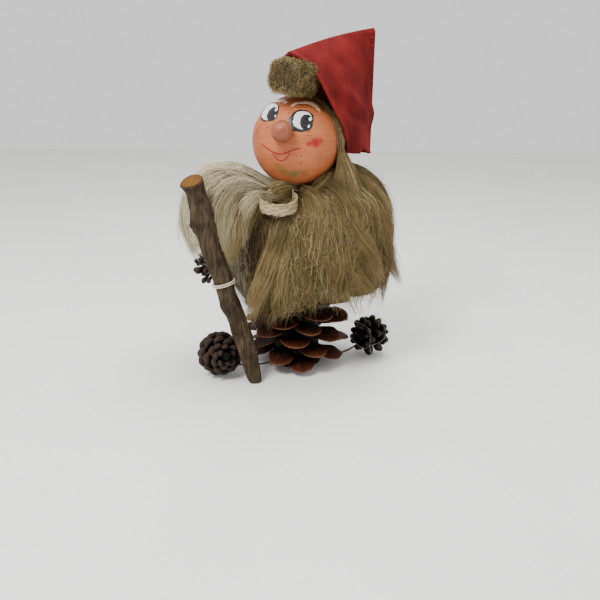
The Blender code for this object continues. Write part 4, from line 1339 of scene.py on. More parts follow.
@dataclass
class Fur:
    """The mantle's five parts, of which the chest stands for no solid, and the locks that lie over them."""

    lobes: tuple[Lobe, ...] = (
        # The beard's wad is near black and lies deep: painted shadow under its sparse hairs.
        Lobe("beard", 249, 306, 3000, 60, STRAW, SHADOW_WAD, Slot.FUR,
             depth=9.0, fan=0.12, pull=0.66, stray=0.22, tone=0.42, seed=21, loose=3800),
        Lobe("fur_sleeve_left", 302, 399, 3000, 84, STRAW, STRAW_WAD, Slot.FUR,
             depth=4.0, fan=0.05, pull=0.7, stray=0.14, tone=0.45, seed=22, loose=2600),
        Lobe("fur_back", 398, 505, 1700, 70, STRAW, STRAW_WAD, Slot.FUR,
             depth=4.0, fan=0.0, pull=0.75, stray=0.1, tone=0.42, seed=23, loose=900),
        Lobe("fur_sleeve_right", 143, 219, 3000, 80, CREAM, CREAM_WAD, Slot.PALE_FUR,
             depth=4.0, fan=0.05, pull=0.6, stray=0.14, tone=0.62, seed=24, loose=1500),
        # The chest's hairs are toned darkest over a near-black wad: painted shadow in the gap between the beard and the
        # right sleeve.
        Lobe("chest", 214, 254, 650, 30, STRAW, SHADOW_WAD, Slot.FUR,
             depth=9.0, fan=0.0, pull=0.4, stray=0.4, tone=-0.1, seed=25, loose=600),
    )
    # A share of the lobe's hairs, their radius, how much more of them stray, and the seed's shift.
    coats: tuple[tuple[float, float, float, int], ...] = ((1.0, 0.16, 1.0, 0), (0.6, 0.11, 2.6, 100))
    straw_locks: tuple[Lock, ...] = (
        Lock(((-42, -38, 156), (-47, -44, 138), (-49, -46, 118), (-52, -46, 101)), (5, 6, 1.5), 310, 0.66),
        Lock(((-4, -42, 150), (-13, -52, 127), (-25, -57, 96), (-38, -58, 58)), (6, 8, 3.5), 620, 0.66),
        Lock(((3, -44, 142), (-6, -55, 115), (-13, -58, 88), (-17, -57, 70)), (5, 6, 1.5), 330, 0.72),
        Lock(((34, -28, 161), (58, -32, 133), (75, -27, 100), (85, -21, 78)), (7, 9, 1.0), 460, 0.55),
        Lock(((26, -38, 153), (43, -46, 126), (59, -43, 103), (69, -40, 86)), (7, 9, 2.5), 460, 0.55),
        Lock(((26, -46, 112), (40, -46, 94), (51, -42, 82), (58, -38, 72)), (4, 9, 8.0), 510, 0.6),
        Lock(((20, -40, 150), (27, -50, 124), (29, -55, 98), (26, -54, 72)), (6, 8, 3.0), 370, 0.45),
    )
    chin_locks: tuple[Lock, ...] = (
        Lock(((-20, -20, 151), (-30, -32, 151), (-37, -40, 140), (-41, -44, 120)), (6, 7, 3), 340, 0.45),
        Lock(((0, -22, 155), (8, -36, 153), (14, -46, 140), (12, -52, 116)), (6, 8, 5), 460, 0.5),
        Lock(((12, -20, 160), (24, -32, 158), (36, -40, 146), (44, -44, 124)), (7, 9, 5), 510, 0.42),
        Lock(((22, -10, 164), (40, -18, 163), (58, -24, 150), (70, -26, 126)), (7, 9, 6), 510, 0.42),
        Lock(((26, -2, 168), (46, -6, 166), (63, -8, 152), (74, -10, 128)), (7, 9, 6), 460, 0.38),
        Lock(((-15, -39, 118), (-15, -40, 125), (-15, -41, 131)), (9, 10, 9), 250, 0.12),
        Lock(((30, -12, 172), (27, -23, 167), (19, -30, 159), (10, -33, 151)), (6, 7, 6), 390, 0.5),
        Lock(((2, -18, 155), (-8, -25, 158), (-18, -27, 156), (-26, -24, 149)), (5, 6, 4), 310, 0.62),
        Lock(((0, -20, 154), (-9, -25, 152), (-19, -27, 149)), (4, 6, 5), 250, 0.55),
    )
    cream_locks: tuple[Lock, ...] = (
        Lock(((-89, -14, 150), (-91, -14, 132), (-89, -13, 114), (-87, -12, 99)), (4, 6, 2.0), 370, 0.6),
        Lock(((-44, -32, 162), (-55, -41, 147), (-57, -44, 124), (-54, -45, 100)), (9, 11, 2.0), 900, 0.5),
        Lock(((-22, -16, 156), (-53, -18, 167), (-77, -16, 163), (-91, -14, 146)), (5, 7, 5.0), 430, 0.72),
        Lock(((-26, -28, 154), (-48, -34, 159), (-62, -36, 146), (-66, -36, 118)), (6, 9, 4.0), 620, 0.62),
        Lock(((-20, -32, 150), (-36, -40, 150), (-44, -42, 134), (-46, -42, 112)), (5, 7, 3.0), 460, 0.55),
        Lock(((-24, -8, 156), (-50, -6, 167), (-74, -2, 164), (-90, 2, 146)), (6, 8, 5), 510, 0.7),
    )

    def build(self, shop: Shop) -> None:
        """Makes the wads, the coats and the locks."""
        mantle = Mantle()
        for lobe in self.lobes:
            solid = [lobe.name] if lobe.name != "chest" else []
            for k, (share, radius, loose, shift) in enumerate(self.coats):
                hairs, stray = int(lobe.hairs * share), lobe.stray * loose
                coat = replace(lobe, hairs=hairs, stray=stray, seed=lobe.seed + shift)
                paths, tint = mantle.coat(coat)
                piece = shop.hair(f"{lobe.name}_coat_{k + 1}", paths, tint, radius, lobe.finish)
                place_piece(piece, Body.FIGURE, lobe.slot, *solid)
            paths, tint = mantle.tangle(lobe)
            piece = shop.hair(f"{lobe.name}_tangle", paths, tint, 0.105, lobe.finish)
            place_piece(piece, Body.FIGURE, lobe.slot)
            place_piece(mantle.wad(lobe, shop), Body.FIGURE, lobe.slot)
        for name, locks, finish, slot, seed in (
            ("straw_locks", self.straw_locks, STRAW, Slot.FUR, 31),
            ("chin_locks", self.chin_locks, STRAW, Slot.FUR, 33),
            ("cream_locks", self.cream_locks, CREAM, Slot.PALE_FUR, 32),
        ):
            paths, tint = lock_hairs(locks, seed)
            place_piece(shop.hair(name, paths, tint, 0.15, finish), Body.FIGURE, slot)


# ---------------------------------------------------------------- head


@dataclass
class Head:
    """The painted ball with its nose, the brush work on its face, the fringe and the hair."""

    nose_radius: float = 8.1
    nose_reach: float = 5.2
    neck_bore: float = 5.3
    bore_depth: float = 26.0
    fringe_hairs: int = 4800
    side_hairs: int = 3300

    def build(self, shop: Shop) -> None:
        """Makes every piece of the head but the hood."""
        self.ball(shop)
        self.nose(shop)
        self.eyes(shop)
        self.strokes(shop)
        self.fringe(shop)
        self.hair(shop)

    def ball(self, shop: Shop) -> None:
        """The ball, turned about the neck, with the neck's bore in it."""
        axis = (HEAD_CENTRE - NECK_ROOT) / np.linalg.norm(HEAD_CENTRE - NECK_ROOT)
        side = np.cross(axis, [0, 1.0, 0])
        side /= np.linalg.norm(side)
        other = np.cross(axis, side)
        first = math.asin(self.neck_bore / HEAD_RADIUS)
        profile = [(0.4, -HEAD_RADIUS + self.bore_depth), (self.neck_bore, -HEAD_RADIUS + self.bore_depth)]
        for a in np.linspace(first, math.pi - 0.01, 72):
            profile.append((HEAD_RADIUS * math.sin(a), -HEAD_RADIUS * math.cos(a)))
        around = np.linspace(0, 2 * math.pi, 96, endpoint=False)
        ring = side[None] * np.cos(around)[:, None] + other[None] * np.sin(around)[:, None]
        rows = np.array([HEAD_CENTRE + ring * r + axis * h for r, h in profile])
        shape = Shape()
        shape.grid(rows, wrap=True, ends=True)
        place_piece(shape.build("painted_ball", shop.finish(FacePaint())), Body.HEAD, Slot.FACE, "head_ball")

    def nose(self, shop: Shop) -> None:
        """The nose's ball, a little uneven, and its neck against the head."""
        across, upward, out = face_axes()
        around = np.linspace(0, 2 * math.pi, 40, endpoint=False)
        ring = across[None] * np.cos(around)[:, None] + upward[None] * np.sin(around)[:, None]
        middle = HEAD_RADIUS + self.nose_reach
        rows = []
        for angle in np.linspace(math.radians(-35), math.radians(89.3), 26):
            r, h = self.nose_radius * math.cos(angle), middle + self.nose_radius * math.sin(angle)
            rows.append(HEAD_CENTRE + ring * r + out * h)
        rows = np.array(rows)
        rows = rows + swirl(rows, 9, 5) * 0.16
        shape = Shape()
        shape.grid(rows, wrap=True, ends=True)
        place_piece(shape.build("nose_ball", shop.finish(NosePaint())), Body.HEAD, Slot.FACE, "nose")

    @staticmethod
    def daub(
        shape: Shape, centre: tuple[float, float], half: tuple[float, float], tilt: float, lift: float,
        square: float = 2.0, wobble: float = 0.03, seed: int = 0,
    ) -> None:
        """Adds a closed dab of paint.

        Args:
            shape: the mesh that takes it.
            centre: millimetres right and up on the face.
            half: half its width and height.
            tilt: how far it leans, in degrees.
            lift: its height above the ball.
            square: 2 for an ellipse, and more for a squarer one.
            wobble: how uneven its edge is.
            seed: the edge's own number.
        """
        rng = np.random.default_rng(seed)
        angle = np.linspace(0, 2 * math.pi, 40, endpoint=False)
        edge = 1 + wobble * sum(np.sin(angle * n + rng.uniform(0, 6)) / n for n in (2, 3, 5, 7))
        c, s = np.cos(angle), np.sin(angle)
        edge = edge / (np.abs(c) ** square + np.abs(s) ** square) ** (1 / square)
        lean = math.radians(tilt)
        rows = []
        for share, height in (
            (0.02, 1), (0.35, 1), (0.7, 1), (0.92, 0.95), (1.0, 0.4), (1.02, -1.2), (0.5, -3), (0.02, -3),
        ):
            x, y = c * edge * half[0] * share, s * edge * half[1] * share
            right = centre[0] + x * math.cos(lean) - y * math.sin(lean)
            up = centre[1] + x * math.sin(lean) + y * math.cos(lean)
            rows.append(face_place(right, up, lift * height if height > 0 else height * 0.1))
        shape.grid(np.array(rows), wrap=True, ends=True)

    @staticmethod
    def stroke(
        shape: Shape, line: Sequence[tuple[float, float]], widths: Sequence[float], lift: float, seed: int = 0,
        closed: bool = False,
    ) -> None:
        """Adds a brush stroke.

        Args:
            shape: the mesh that takes it.
            line: millimetres right and up on the face, along the stroke.
            widths: half its width at even steps along.
            lift: its height above the ball.
            seed: the edge's own number.
            closed: whether it runs back into its start.
        """
        stops = [(x, y, 0.0) for x, y in line]
        if closed:
            stops.append(stops[0])
        path = smooth_path(stops, 64)[:, :2]
        way = unit(np.gradient(path, axis=0))
        side = np.stack([-way[:, 1], way[:, 0]], axis=1)
        t = np.linspace(0, 1, 64)
        half = np.interp(t, np.linspace(0, 1, len(widths)), widths)
        rng = np.random.default_rng(seed)
        half = half * (1 + 0.14 * np.sin(t * 31 + rng.uniform(0, 6)) + 0.1 * np.sin(t * 67 + rng.uniform(0, 6)))
        columns = []
        for place, height in (
            (1.05, -0.1), (1, lift * 0.4), (0.8, lift), (0, lift * 1.1), (-0.8, lift), (-1, lift * 0.4),
            (-1.05, -0.1), (0, -0.3),
        ):
            spot = path + side * (half * place)[:, None]
            columns.append(face_place(spot[:, 0], spot[:, 1], height))
        rows = np.stack(columns, axis=1)
        shape.grid(rows, wrap=True, ends=True)

    def eyes(self, shop: Shop) -> None:
        """The whites, their black outlines, the dark irises and the glints."""
        whites, lines, irises, glints = Shape(), Shape(), Shape(), Shape()
        square = 2.3
        for k, (centre, half, tilt, widths) in enumerate((
            ((11.8, 10.2), (7.3, 7.7), -8, (0.5, 0.6, 0.6, 0.9, 1.5, 1.6, 1.2, 0.8, 0.5)),
            ((-15.6, 17), (7.9, 7.7), -14, (0.5, 0.55, 0.7, 0.9, 0.8, 0.7, 0.6, 0.5)),
        )):
            self.daub(whites, centre, half, tilt, 0.12, square, 0.03, 40 + k)
            lean, ring = math.radians(tilt), []
            for a in np.linspace(0, 2 * math.pi, 24, endpoint=False):
                c, s = math.cos(a), math.sin(a)
                grow = 1 / (abs(c) ** square + abs(s) ** square) ** (1 / square)
                x, y = half[0] * c * grow, half[1] * s * grow
                right = centre[0] + x * math.cos(lean) - y * math.sin(lean)
                ring.append((right, centre[1] + x * math.sin(lean) + y * math.cos(lean)))
            self.stroke(lines, ring, widths, 0.17, 50 + k, True)
        self.daub(irises, (15.3, 9.0), (4.3, 6.3), 8, 0.22, 2.2, 0.03, 61)
        self.daub(irises, (-11.8, 14.6), (5.0, 5.7), -10, 0.22, 2.2, 0.03, 62)
        for centre, half in (
            ((17.5, 11.8), (1.1, 1.6)), ((17.3, 6.2), (0.7, 1.4)), ((-9.2, 17.8), (1.2, 1.5)),
            ((-8.6, 12.5), (0.6, 1.1)),
        ):
            self.daub(glints, centre, half, -10, 0.3, 2.0, 0.05, 70)
        white = BrushPaint("eye_white", (0.78, 0.75, 0.68))
        black = BrushPaint("eye_black", (0.012, 0.012, 0.014), 0.3)
        for name, shape, finish in (
            ("eye_whites", whites, white), ("eye_outlines", lines, black),
            ("eye_irises", irises, black), ("eye_glints", glints, white),
        ):
            place_piece(shape.build(name, shop.finish(finish)), Body.HEAD, Slot.FACE)

    def strokes(self, shop: Shop) -> None:
        """The cream brows, the red mouth and the lip under it."""
        brows, mouth = Shape(), Shape()
        for shape, lift, seed, line, widths in (
            (brows, 0.14, 1, ((-20, 23), (-16, 25.6), (-11, 26.6), (-6, 25.8), (-2.4, 23.6)),
             (0.5, 0.8, 1.1, 1.4, 0.9)),
            (brows, 0.14, 2, ((2, 20.6), (3.8, 22.8), (6.4, 24.4)), (0.5, 1.1, 0.7)),
            (brows, 0.14, 3, ((6.9, 24.0), (10, 25.2), (13.6, 25.5), (17.6, 24), (22.2, 19.6)),
             (0.6, 1.1, 1.5, 1.0, 0.5)),
            (mouth, 0.13, 4, ((-20, -7.4), (-16, -9.8), (-12, -11.9), (-7.4, -14.3), (-3, -15.1), (1, -14.6),
                              (6, -12.4), (10.2, -10.8), (13.4, -9.8)),
             (0.3, 0.5, 0.42, 0.5, 0.55, 0.5, 0.42, 0.5, 0.35)),
            (mouth, 0.13, 5, ((-9, -14.2), (-7, -17.2), (-4.2, -19.2), (-1.2, -19.6), (1.6, -18.2),
                              (3.5, -16.2), (5, -13.8)),
             (0.3, 0.42, 0.45, 0.5, 0.45, 0.4, 0.3)),
        ):
            self.stroke(shape, line, widths, lift, seed)
        for name, shape, finish in (
            ("brows", brows, BrushPaint("brow_cream", (0.78, 0.6, 0.42))),
            ("mouth", mouth, BrushPaint("mouth_red", (0.3, 0.008, 0.006), 0.35)),
        ):
            place_piece(shape.build(name, shop.finish(finish)), Body.HEAD, Slot.FACE)

    @staticmethod
    def tilted(points: Array) -> Array:
        """Points of the fringe, tilted down to the right."""
        lean = math.radians(6)
        x = points[..., 0] * math.cos(lean) + points[..., 2] * math.sin(lean)
        z = points[..., 2] * math.cos(lean) - points[..., 0] * math.sin(lean)
        return np.stack([x, points[..., 1], z], axis=-1)

    def fringe(self, shop: Shop) -> None:
        """The clipped fur over the brow: a boxy wad and short dense hairs that lean back under the hood, darkened as
        painted shadow at one spot in front and towards the hood on the right.
        """
        centre, radii = np.array([-4.2, -28.5, 240.6]), np.array([20.4, 15.0, 13.6])
        around = np.linspace(0, 2 * math.pi, 36, endpoint=False)
        u, v = np.meshgrid(np.linspace(0.03, math.pi - 0.03, 22), around, indexing="ij")
        way = np.stack([np.sin(u) * np.cos(v), np.sin(u) * np.sin(v), np.cos(u)], axis=-1)
        boxy = way / (np.abs(way) ** 3).sum(-1, keepdims=True) ** (1 / 3) * 0.93
        wad = centre + self.tilted(boxy * radii * 0.9)
        shape = Shape()
        shape.grid(wad + swirl(wad, 8, 3) * 0.7, wrap=True, ends=True, round=v / 6.283)
        place_piece(shape.build("fringe_wad", shop.finish(STRAW_WAD)), Body.HEAD, Slot.FUR)
        rng = np.random.default_rng(41)
        count = self.fringe_hairs
        ways = unit(rng.normal(size=(count, 3)))
        boxy = ways / (np.abs(ways) ** 4).sum(-1, keepdims=True) ** (1 / 4) * 0.9
        root = centre + self.tilted(boxy * radii * 0.86)
        lean = np.array([0.1, -0.3, 0.25]) + rng.normal(0, 0.3, root.shape)
        aim = unit(ways * 0.8 + lean)
        t = np.linspace(0, 1, 5)[None, :, None]
        length = rng.uniform(1.8, 4.3, (count, 1, 1))
        paths = root[:, None] + aim[:, None] * length * t + np.array([0, 0, -1.2]) * t**2
        paths = paths + swirl(paths, 12, 8) * 0.9 * t
        # Painted shadow: hairs darken about one spot in front and towards the right, where the hood's edge shades them.
        hollow_shadow = np.exp(-(np.linalg.norm(root - (-11, -43, 243), axis=1) / 7) ** 2)
        under = np.clip((root[:, 0] - centre[0] - 4) / 12, 0, 1)
        rim = np.clip((236 - root[:, 2]) / 6, 0, 1) * np.clip((4 - root[:, 0]) / 10, 0, 1)
        tint = 0.62 + rng.normal(0, 0.15, count) - 0.34 * hollow_shadow - 0.3 * under + 0.2 * rim
        hairs = shop.hair("fringe_hair", paths, tint, 0.19, STRAW, 0.35)
        place_piece(hairs, Body.HEAD, Slot.FUR, "fringe")

    def hair(self, shop: Shop) -> None:
        """The hair from under the hood, pulled back down the face's side and into the mantle."""
        rng = np.random.default_rng(51)
        count = self.side_hairs
        t = np.linspace(0, 1, 9)[None]
        start = -33 + 145 * rng.beta(0.85, 1.5, count)[:, None]
        front = np.clip((-start + 5) / 40, 0, 1)
        top = np.radians(rng.uniform(40, 66, count)[:, None])
        leave = 0.62
        past = np.clip((t - leave) / (1 - leave), 0, 1)
        turn = start + front * 9 * np.sin(np.minimum(1, t / 0.6) * math.pi / 2) - front * 14 * past
        down = np.clip(t / leave, 0, 1)
        rise = top * (1 - down) - math.radians(8) * down
        radius = HEAD_RADIUS + rng.uniform(0.4, 2.6, (count, 1)) + 0.8 * np.sin(t * math.pi)
        hang = past * rng.uniform(20, 40, (count, 1))
        spread = rng.uniform(0.05, 0.75, (count, 1)) ** 1.4
        turn = np.radians(turn + rng.normal(0, 2.5, (count, 1)) * t)
        flat = radius * np.cos(rise) + hang * spread
        paths = np.stack([flat * np.cos(turn), flat * np.sin(turn), radius * np.sin(rise) - hang], axis=-1)
        paths = paths + HEAD_CENTRE
        paths = paths + swirl(paths, 34, 12) * (1.3 * t)[..., None]
        apart = paths + rng.normal(0, 50, (count, 1, 3))
        paths = paths + swirl(apart, 60, 13) * (1.2 * t)[..., None]
        tint = 0.62 + rng.normal(0, 0.2, count)
        hairs = shop.hair("side_hair", paths, tint, 0.15, STRAW)
        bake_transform(hairs)
        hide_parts("hair")
        LOG.info("side_hair: %d faces", len(hairs.data.polygons))
        angles = np.radians(np.linspace(-29, 112, 40))
        climb = np.radians(np.linspace(52, 0, 12))
        rows = []
        for angle in angles:
            line = [(HEAD_RADIUS + 1.5) * np.array([math.cos(e), math.sin(e)]) for e in climb]
            hem = 4 + 14 * min(1, max(0, angle / 0.5))
            line += [np.array([HEAD_RADIUS + 1.5, -hem * share]) for share in (0.35, 0.7, 1)]
            line += [np.array([HEAD_RADIUS + 0.4, -hem * share]) for share in (1, 0.5)]
            line += [(HEAD_RADIUS + 0.3) * np.array([math.cos(e), math.sin(e)]) for e in reversed(climb)]
            rows.append([HEAD_CENTRE + (p[0] * math.cos(angle), p[0] * math.sin(angle), p[1]) for p in line])
        rows = np.array(rows)
        shape = Shape()
        shape.grid(rows, wrap=True, ends=True, round=np.repeat(angles[:, None] / 6.283, rows.shape[1], axis=1))
        place_piece(shape.build("hair_wad", shop.finish(STRAW_WAD), 80), Body.HEAD, Slot.FUR)


RED_THREAD = PlainFinish("red_thread", (0.2, 0.012, 0.015), (0.34, 0.03, 0.03), 0.7, wave=(900, 900, 900), height=0.1)
RED_FUZZ = PlainFinish("red_fuzz", (0.2, 0.018, 0.017), (0.32, 0.042, 0.038), 0.9, height=0.05)


@dataclass
class Hood:
    """The felt hood: one folded sheet with a ridge on top, sewn down the back, open below and in front."""

    yaw: float = math.radians(34.7)
    felt: float = 1.8
    room: float = 35.7
    tip_back: float = 75.0
    tip_up: float = 84.0
    nape_up: float = -14.0
    columns: int = 72
    half_rows: int = 44
    # Of the opening's edge: the share from corner to ridge, then back, side and up as shares of the room.
    edge: tuple[tuple[float, ...], ...] = (
        (0, 0.807, 0.742, -0.224), (0.25, 0.56, 0.952, 0.252), (0.5, 0.168, 1.0, 0.812), (0.75, -0.13, 0.868, 1.36),
        (0.92, -0.24, 0.448, 1.69), (1, -0.21, 0, 1.8),
    )

    def side(self, u: Array, v: Array, far: bool) -> Array:
        """One side of the felt's inside, from the opening, u = 0, to the back seam, and from hem to ridge."""
        stops = np.array(self.edge)
        front = hermite(stops[:, 0], stops[:, 1:], v) * self.room
        if far:
            front[..., 1] *= 1 - 0.3 * np.maximum(0, v - 0.25)
            front[..., 0] += 13 * np.sin(math.pi * np.clip(v, 0, 1)) ** 0.8
        corner, peak = stops[0, 1:] * self.room, stops[-1, 1:] * self.room
        nape, tip = np.array([self.tip_back, 0, self.nape_up]), np.array([self.tip_back, 0, self.tip_up])
        u, v = u[..., None], v[..., None]
        seam = nape + (tip - nape) * v
        hem = corner + (nape - corner) * u + np.array([0, 5, 0]) * np.sin(math.pi * u)
        ridge = peak + (tip - peak) * u + np.array([0, 0, 1.8]) * np.sin(math.pi * u)
        corners = (corner + (nape - corner) * u) * (1 - v) + (peak + (tip - peak) * u) * v
        point = front + (seam - front) * u + hem + (ridge - hem) * v - corners
        point[..., 1] = np.sqrt(np.maximum(0, point[..., 1]) ** 2 + 0.25)
        return point

    def folds(self, u: Array, v: Array, far: bool) -> Array:
        """How far folds and dents push the felt outwards, in millimetres."""
        push = 3.6 * np.exp(-(((v - 0.66 + 0.42 * u) / 0.07) ** 2)) * np.sin(math.pi * np.clip(u * 1.15, 0, 1))
        push -= 2.8 * np.exp(-(((v - 0.52 + 0.36 * u) / 0.08) ** 2)) * np.sin(math.pi * u)
        push += 1.2 * np.exp(-(((v - 0.3 + 0.12 * u) / 0.07) ** 2)) * np.clip(u * 2, 0, 1) * (1 - u)
        push -= 1.5 * np.exp(-(((u - 0.82) / 0.07) ** 2)) * np.sin(math.pi * v) ** 2 * (0.4 if far else 1)
        return push * (1 - np.exp(-((1 - v) / 0.06) ** 2))

    def world(self, point: Array) -> Array:
        """A point of the hood's own frame, back, side and up, in the figure's."""
        along = np.array([math.cos(self.yaw), math.sin(self.yaw), 0])
        across = np.array([math.sin(self.yaw), -math.cos(self.yaw), 0])
        return HEAD_CENTRE + point[..., :1] * along + point[..., 1:2] * across + point[..., 2:] * np.array([0, 0, 1])

    def build(self, shop: Shop) -> None:
        """Makes the sheet, its stitches and its loose fibres."""
        u1 = np.linspace(0, 1, self.columns + 1)
        v1 = 1 - np.linspace(1, 0, self.half_rows) ** 1.25
        layers, wears = [], []
        for far in (False, True):
            u, v = np.meshgrid(u1, v1, indexing="ij")
            base = self.side(u, v, far)
            base[..., 1] += np.maximum(self.folds(u, v, far), -np.maximum(0, base[..., 1] - 0.5))
            curl = np.exp(-(((u - 0.72) / 0.13) ** 2)) * np.clip(1 - v / 0.1, 0, 1) * (0.3 if far else 1)
            base[..., 1] += 6.0 * curl * np.clip(1 - v / 0.12, 0, 1)
            base[..., 2] += 3.5 * curl * np.clip(1 - v / 0.06, 0, 1) - 3.0 * curl
            notch = np.exp(-(((u - 0.5) / 0.09) ** 2)) * np.clip(1 - v / 0.15, 0, 1)
            base[..., 2] += 4.0 * notch
            bulge = 3.0 * np.exp(-(((v - 0.33) / 0.07) ** 2)) - 2.0 * np.exp(-(((v - 0.55) / 0.12) ** 2))
            base[..., 0] += bulge * u**4
            if far:
                base[..., 1] *= -1
            layers.append(base)
            band = np.exp(-((u / 0.05) ** 2)) * 0.9 + np.exp(-(((v - 0.66 + 0.42 * u) / 0.035) ** 2)) * 0.5
            wears.append(band + np.exp(-(((1 - v) / 0.035) ** 2)) * 0.6 + np.exp(-((v / 0.03) ** 2)) * 0.5)
        inner = np.concatenate([layers[0], layers[1][:, -2::-1]], axis=1)
        wear = np.concatenate([wears[0], wears[1][:, -2::-1]], axis=1)
        inner = inner + swirl(inner, 30, 17) * 0.5 * np.minimum(1, np.abs(inner[..., 1:2]) / 12)
        across, down = np.gradient(inner, axis=1), np.gradient(inner, axis=0)
        normal = np.cross(across, down)
        normal /= np.maximum(np.linalg.norm(normal, axis=-1, keepdims=True), 1e-9)
        if normal[self.columns // 2, 8, 1] < 0:
            normal = -normal
        outer = inner + normal * self.felt
        outer[-1, :, 0] = np.maximum(outer[-1, :, 0], self.tip_back + 0.6)
        shape = Shape()
        both = np.concatenate([self.world(inner).reshape(-1, 3), self.world(outer).reshape(-1, 3)])
        shape.add(both, self.faces(*inner.shape[:2]), wear=np.concatenate([wear.ravel(), wear.ravel()]))
        piece = shape.build("felt_hood", shop.finish(FeltFinish()), 70)
        felt = place_piece(piece, Body.HEAD, Slot.FELT, "hood")
        span = np.cross(np.diff(inner, axis=1)[:-1], np.diff(inner, axis=0)[:, :-1])
        LOG.info("felt: %.0f square millimetres", np.linalg.norm(span, axis=-1).sum())
        self.stitches(shop)
        self.fuzz(shop, outer)

    @staticmethod
    def faces(rows: int, count: int) -> list[tuple[int, ...]]:
        """The faces of the felt's inside and outside, its closed back, and its edges.

        Args:
            rows: rows of points from the opening to the back.
            count: points in a row, from hem to hem over the ridge.
        Returns:
            The faces, for the inside's points followed by the outside's.
        """
        size = rows * count
        faces: list[tuple[int, ...]] = []
        for shift in (0, size):
            for row in range(rows - 1):
                a = shift + row * count
                faces += [(a + k, a + k + 1, a + count + k + 1, a + count + k) for k in range(count - 1)]
            edge = shift + (rows - 1) * count
            half = count // 2
            faces += [(edge + k, edge + k + 1, edge + count - 2 - k, edge + count - 1 - k) for k in range(half - 1)]
            faces.append((edge + half - 1, edge + half, edge + half + 1))
        for row in range(rows - 1):
            for k in (0, count - 1):
                a = row * count + k
                faces.append((a, a + count, a + count + size, a + size))
        faces += [(k, k + 1, k + 1 + size, k + size) for k in range(count - 1)]
        edge = (rows - 1) * count
        faces.append((edge, edge + size, edge + size + count - 1, edge + count - 1))
        return faces

    def stitches(self, shop: Shop) -> None:
        """Short threads over the back seam."""
        heights = np.linspace(self.nape_up + 5, self.tip_up - 5, 17)
        paths = []
        for k, height in enumerate(heights):
            slope = 1.2 if k % 2 else 0.8
            paths.append([
                (self.tip_back - 4.0, 2.7, height - slope), (self.tip_back + 0.4, 2.5, height - slope / 2),
                (self.tip_back + 1.5, 1.0, height), (self.tip_back + 1.5, -1.0, height + slope / 2),
                (self.tip_back + 0.4, -2.5, height + slope), (self.tip_back - 4.0, -2.7, height + slope),
            ])
        obj = lines_object("seam_stitches", self.world(np.array(paths)), np.ones((17, 6)), np.full(17, 0.5))
        shop.strands.run(obj, Radius=0.22 * MM, Sides=6, Finish=shop.finish(RED_THREAD))
        place_piece(obj, Body.HEAD, Slot.FELT)

    def fuzz(self, shop: Shop, outer: Array) -> None:
        """Loose fibres on the felt's outside, most along the opening."""
        rng, fibres = np.random.default_rng(71), 900
        rows, count = outer.shape[:2]
        row = rng.integers(0, rows, fibres)
        column = rng.integers(0, count, fibres)
        row = np.where(rng.uniform(size=fibres) < 0.3, 0, row)
        root = self.world(outer[row, column])
        away = self.world(outer[row, column] * 1.04) - root
        away /= np.maximum(np.linalg.norm(away, axis=1, keepdims=True), 1e-6)
        aim = away * 0.5 + rng.normal(0, 0.7, root.shape)
        t = np.linspace(0, 1, 4)[None, :, None]
        paths = root[:, None] + aim[:, None] * t * rng.uniform(0.3, 0.9, (fibres, 1, 1))
        obj = lines_object("felt_fuzz", paths, np.ones((fibres, 4)), np.full(fibres, 0.5))
        shop.strands.run(obj, Radius=0.06 * MM, Sides=3, Finish=shop.finish(RED_FUZZ))
        place_piece(obj, Body.HEAD, Slot.FELT)


# ---------------------------------------------------------------- staff, strings, strip and wires


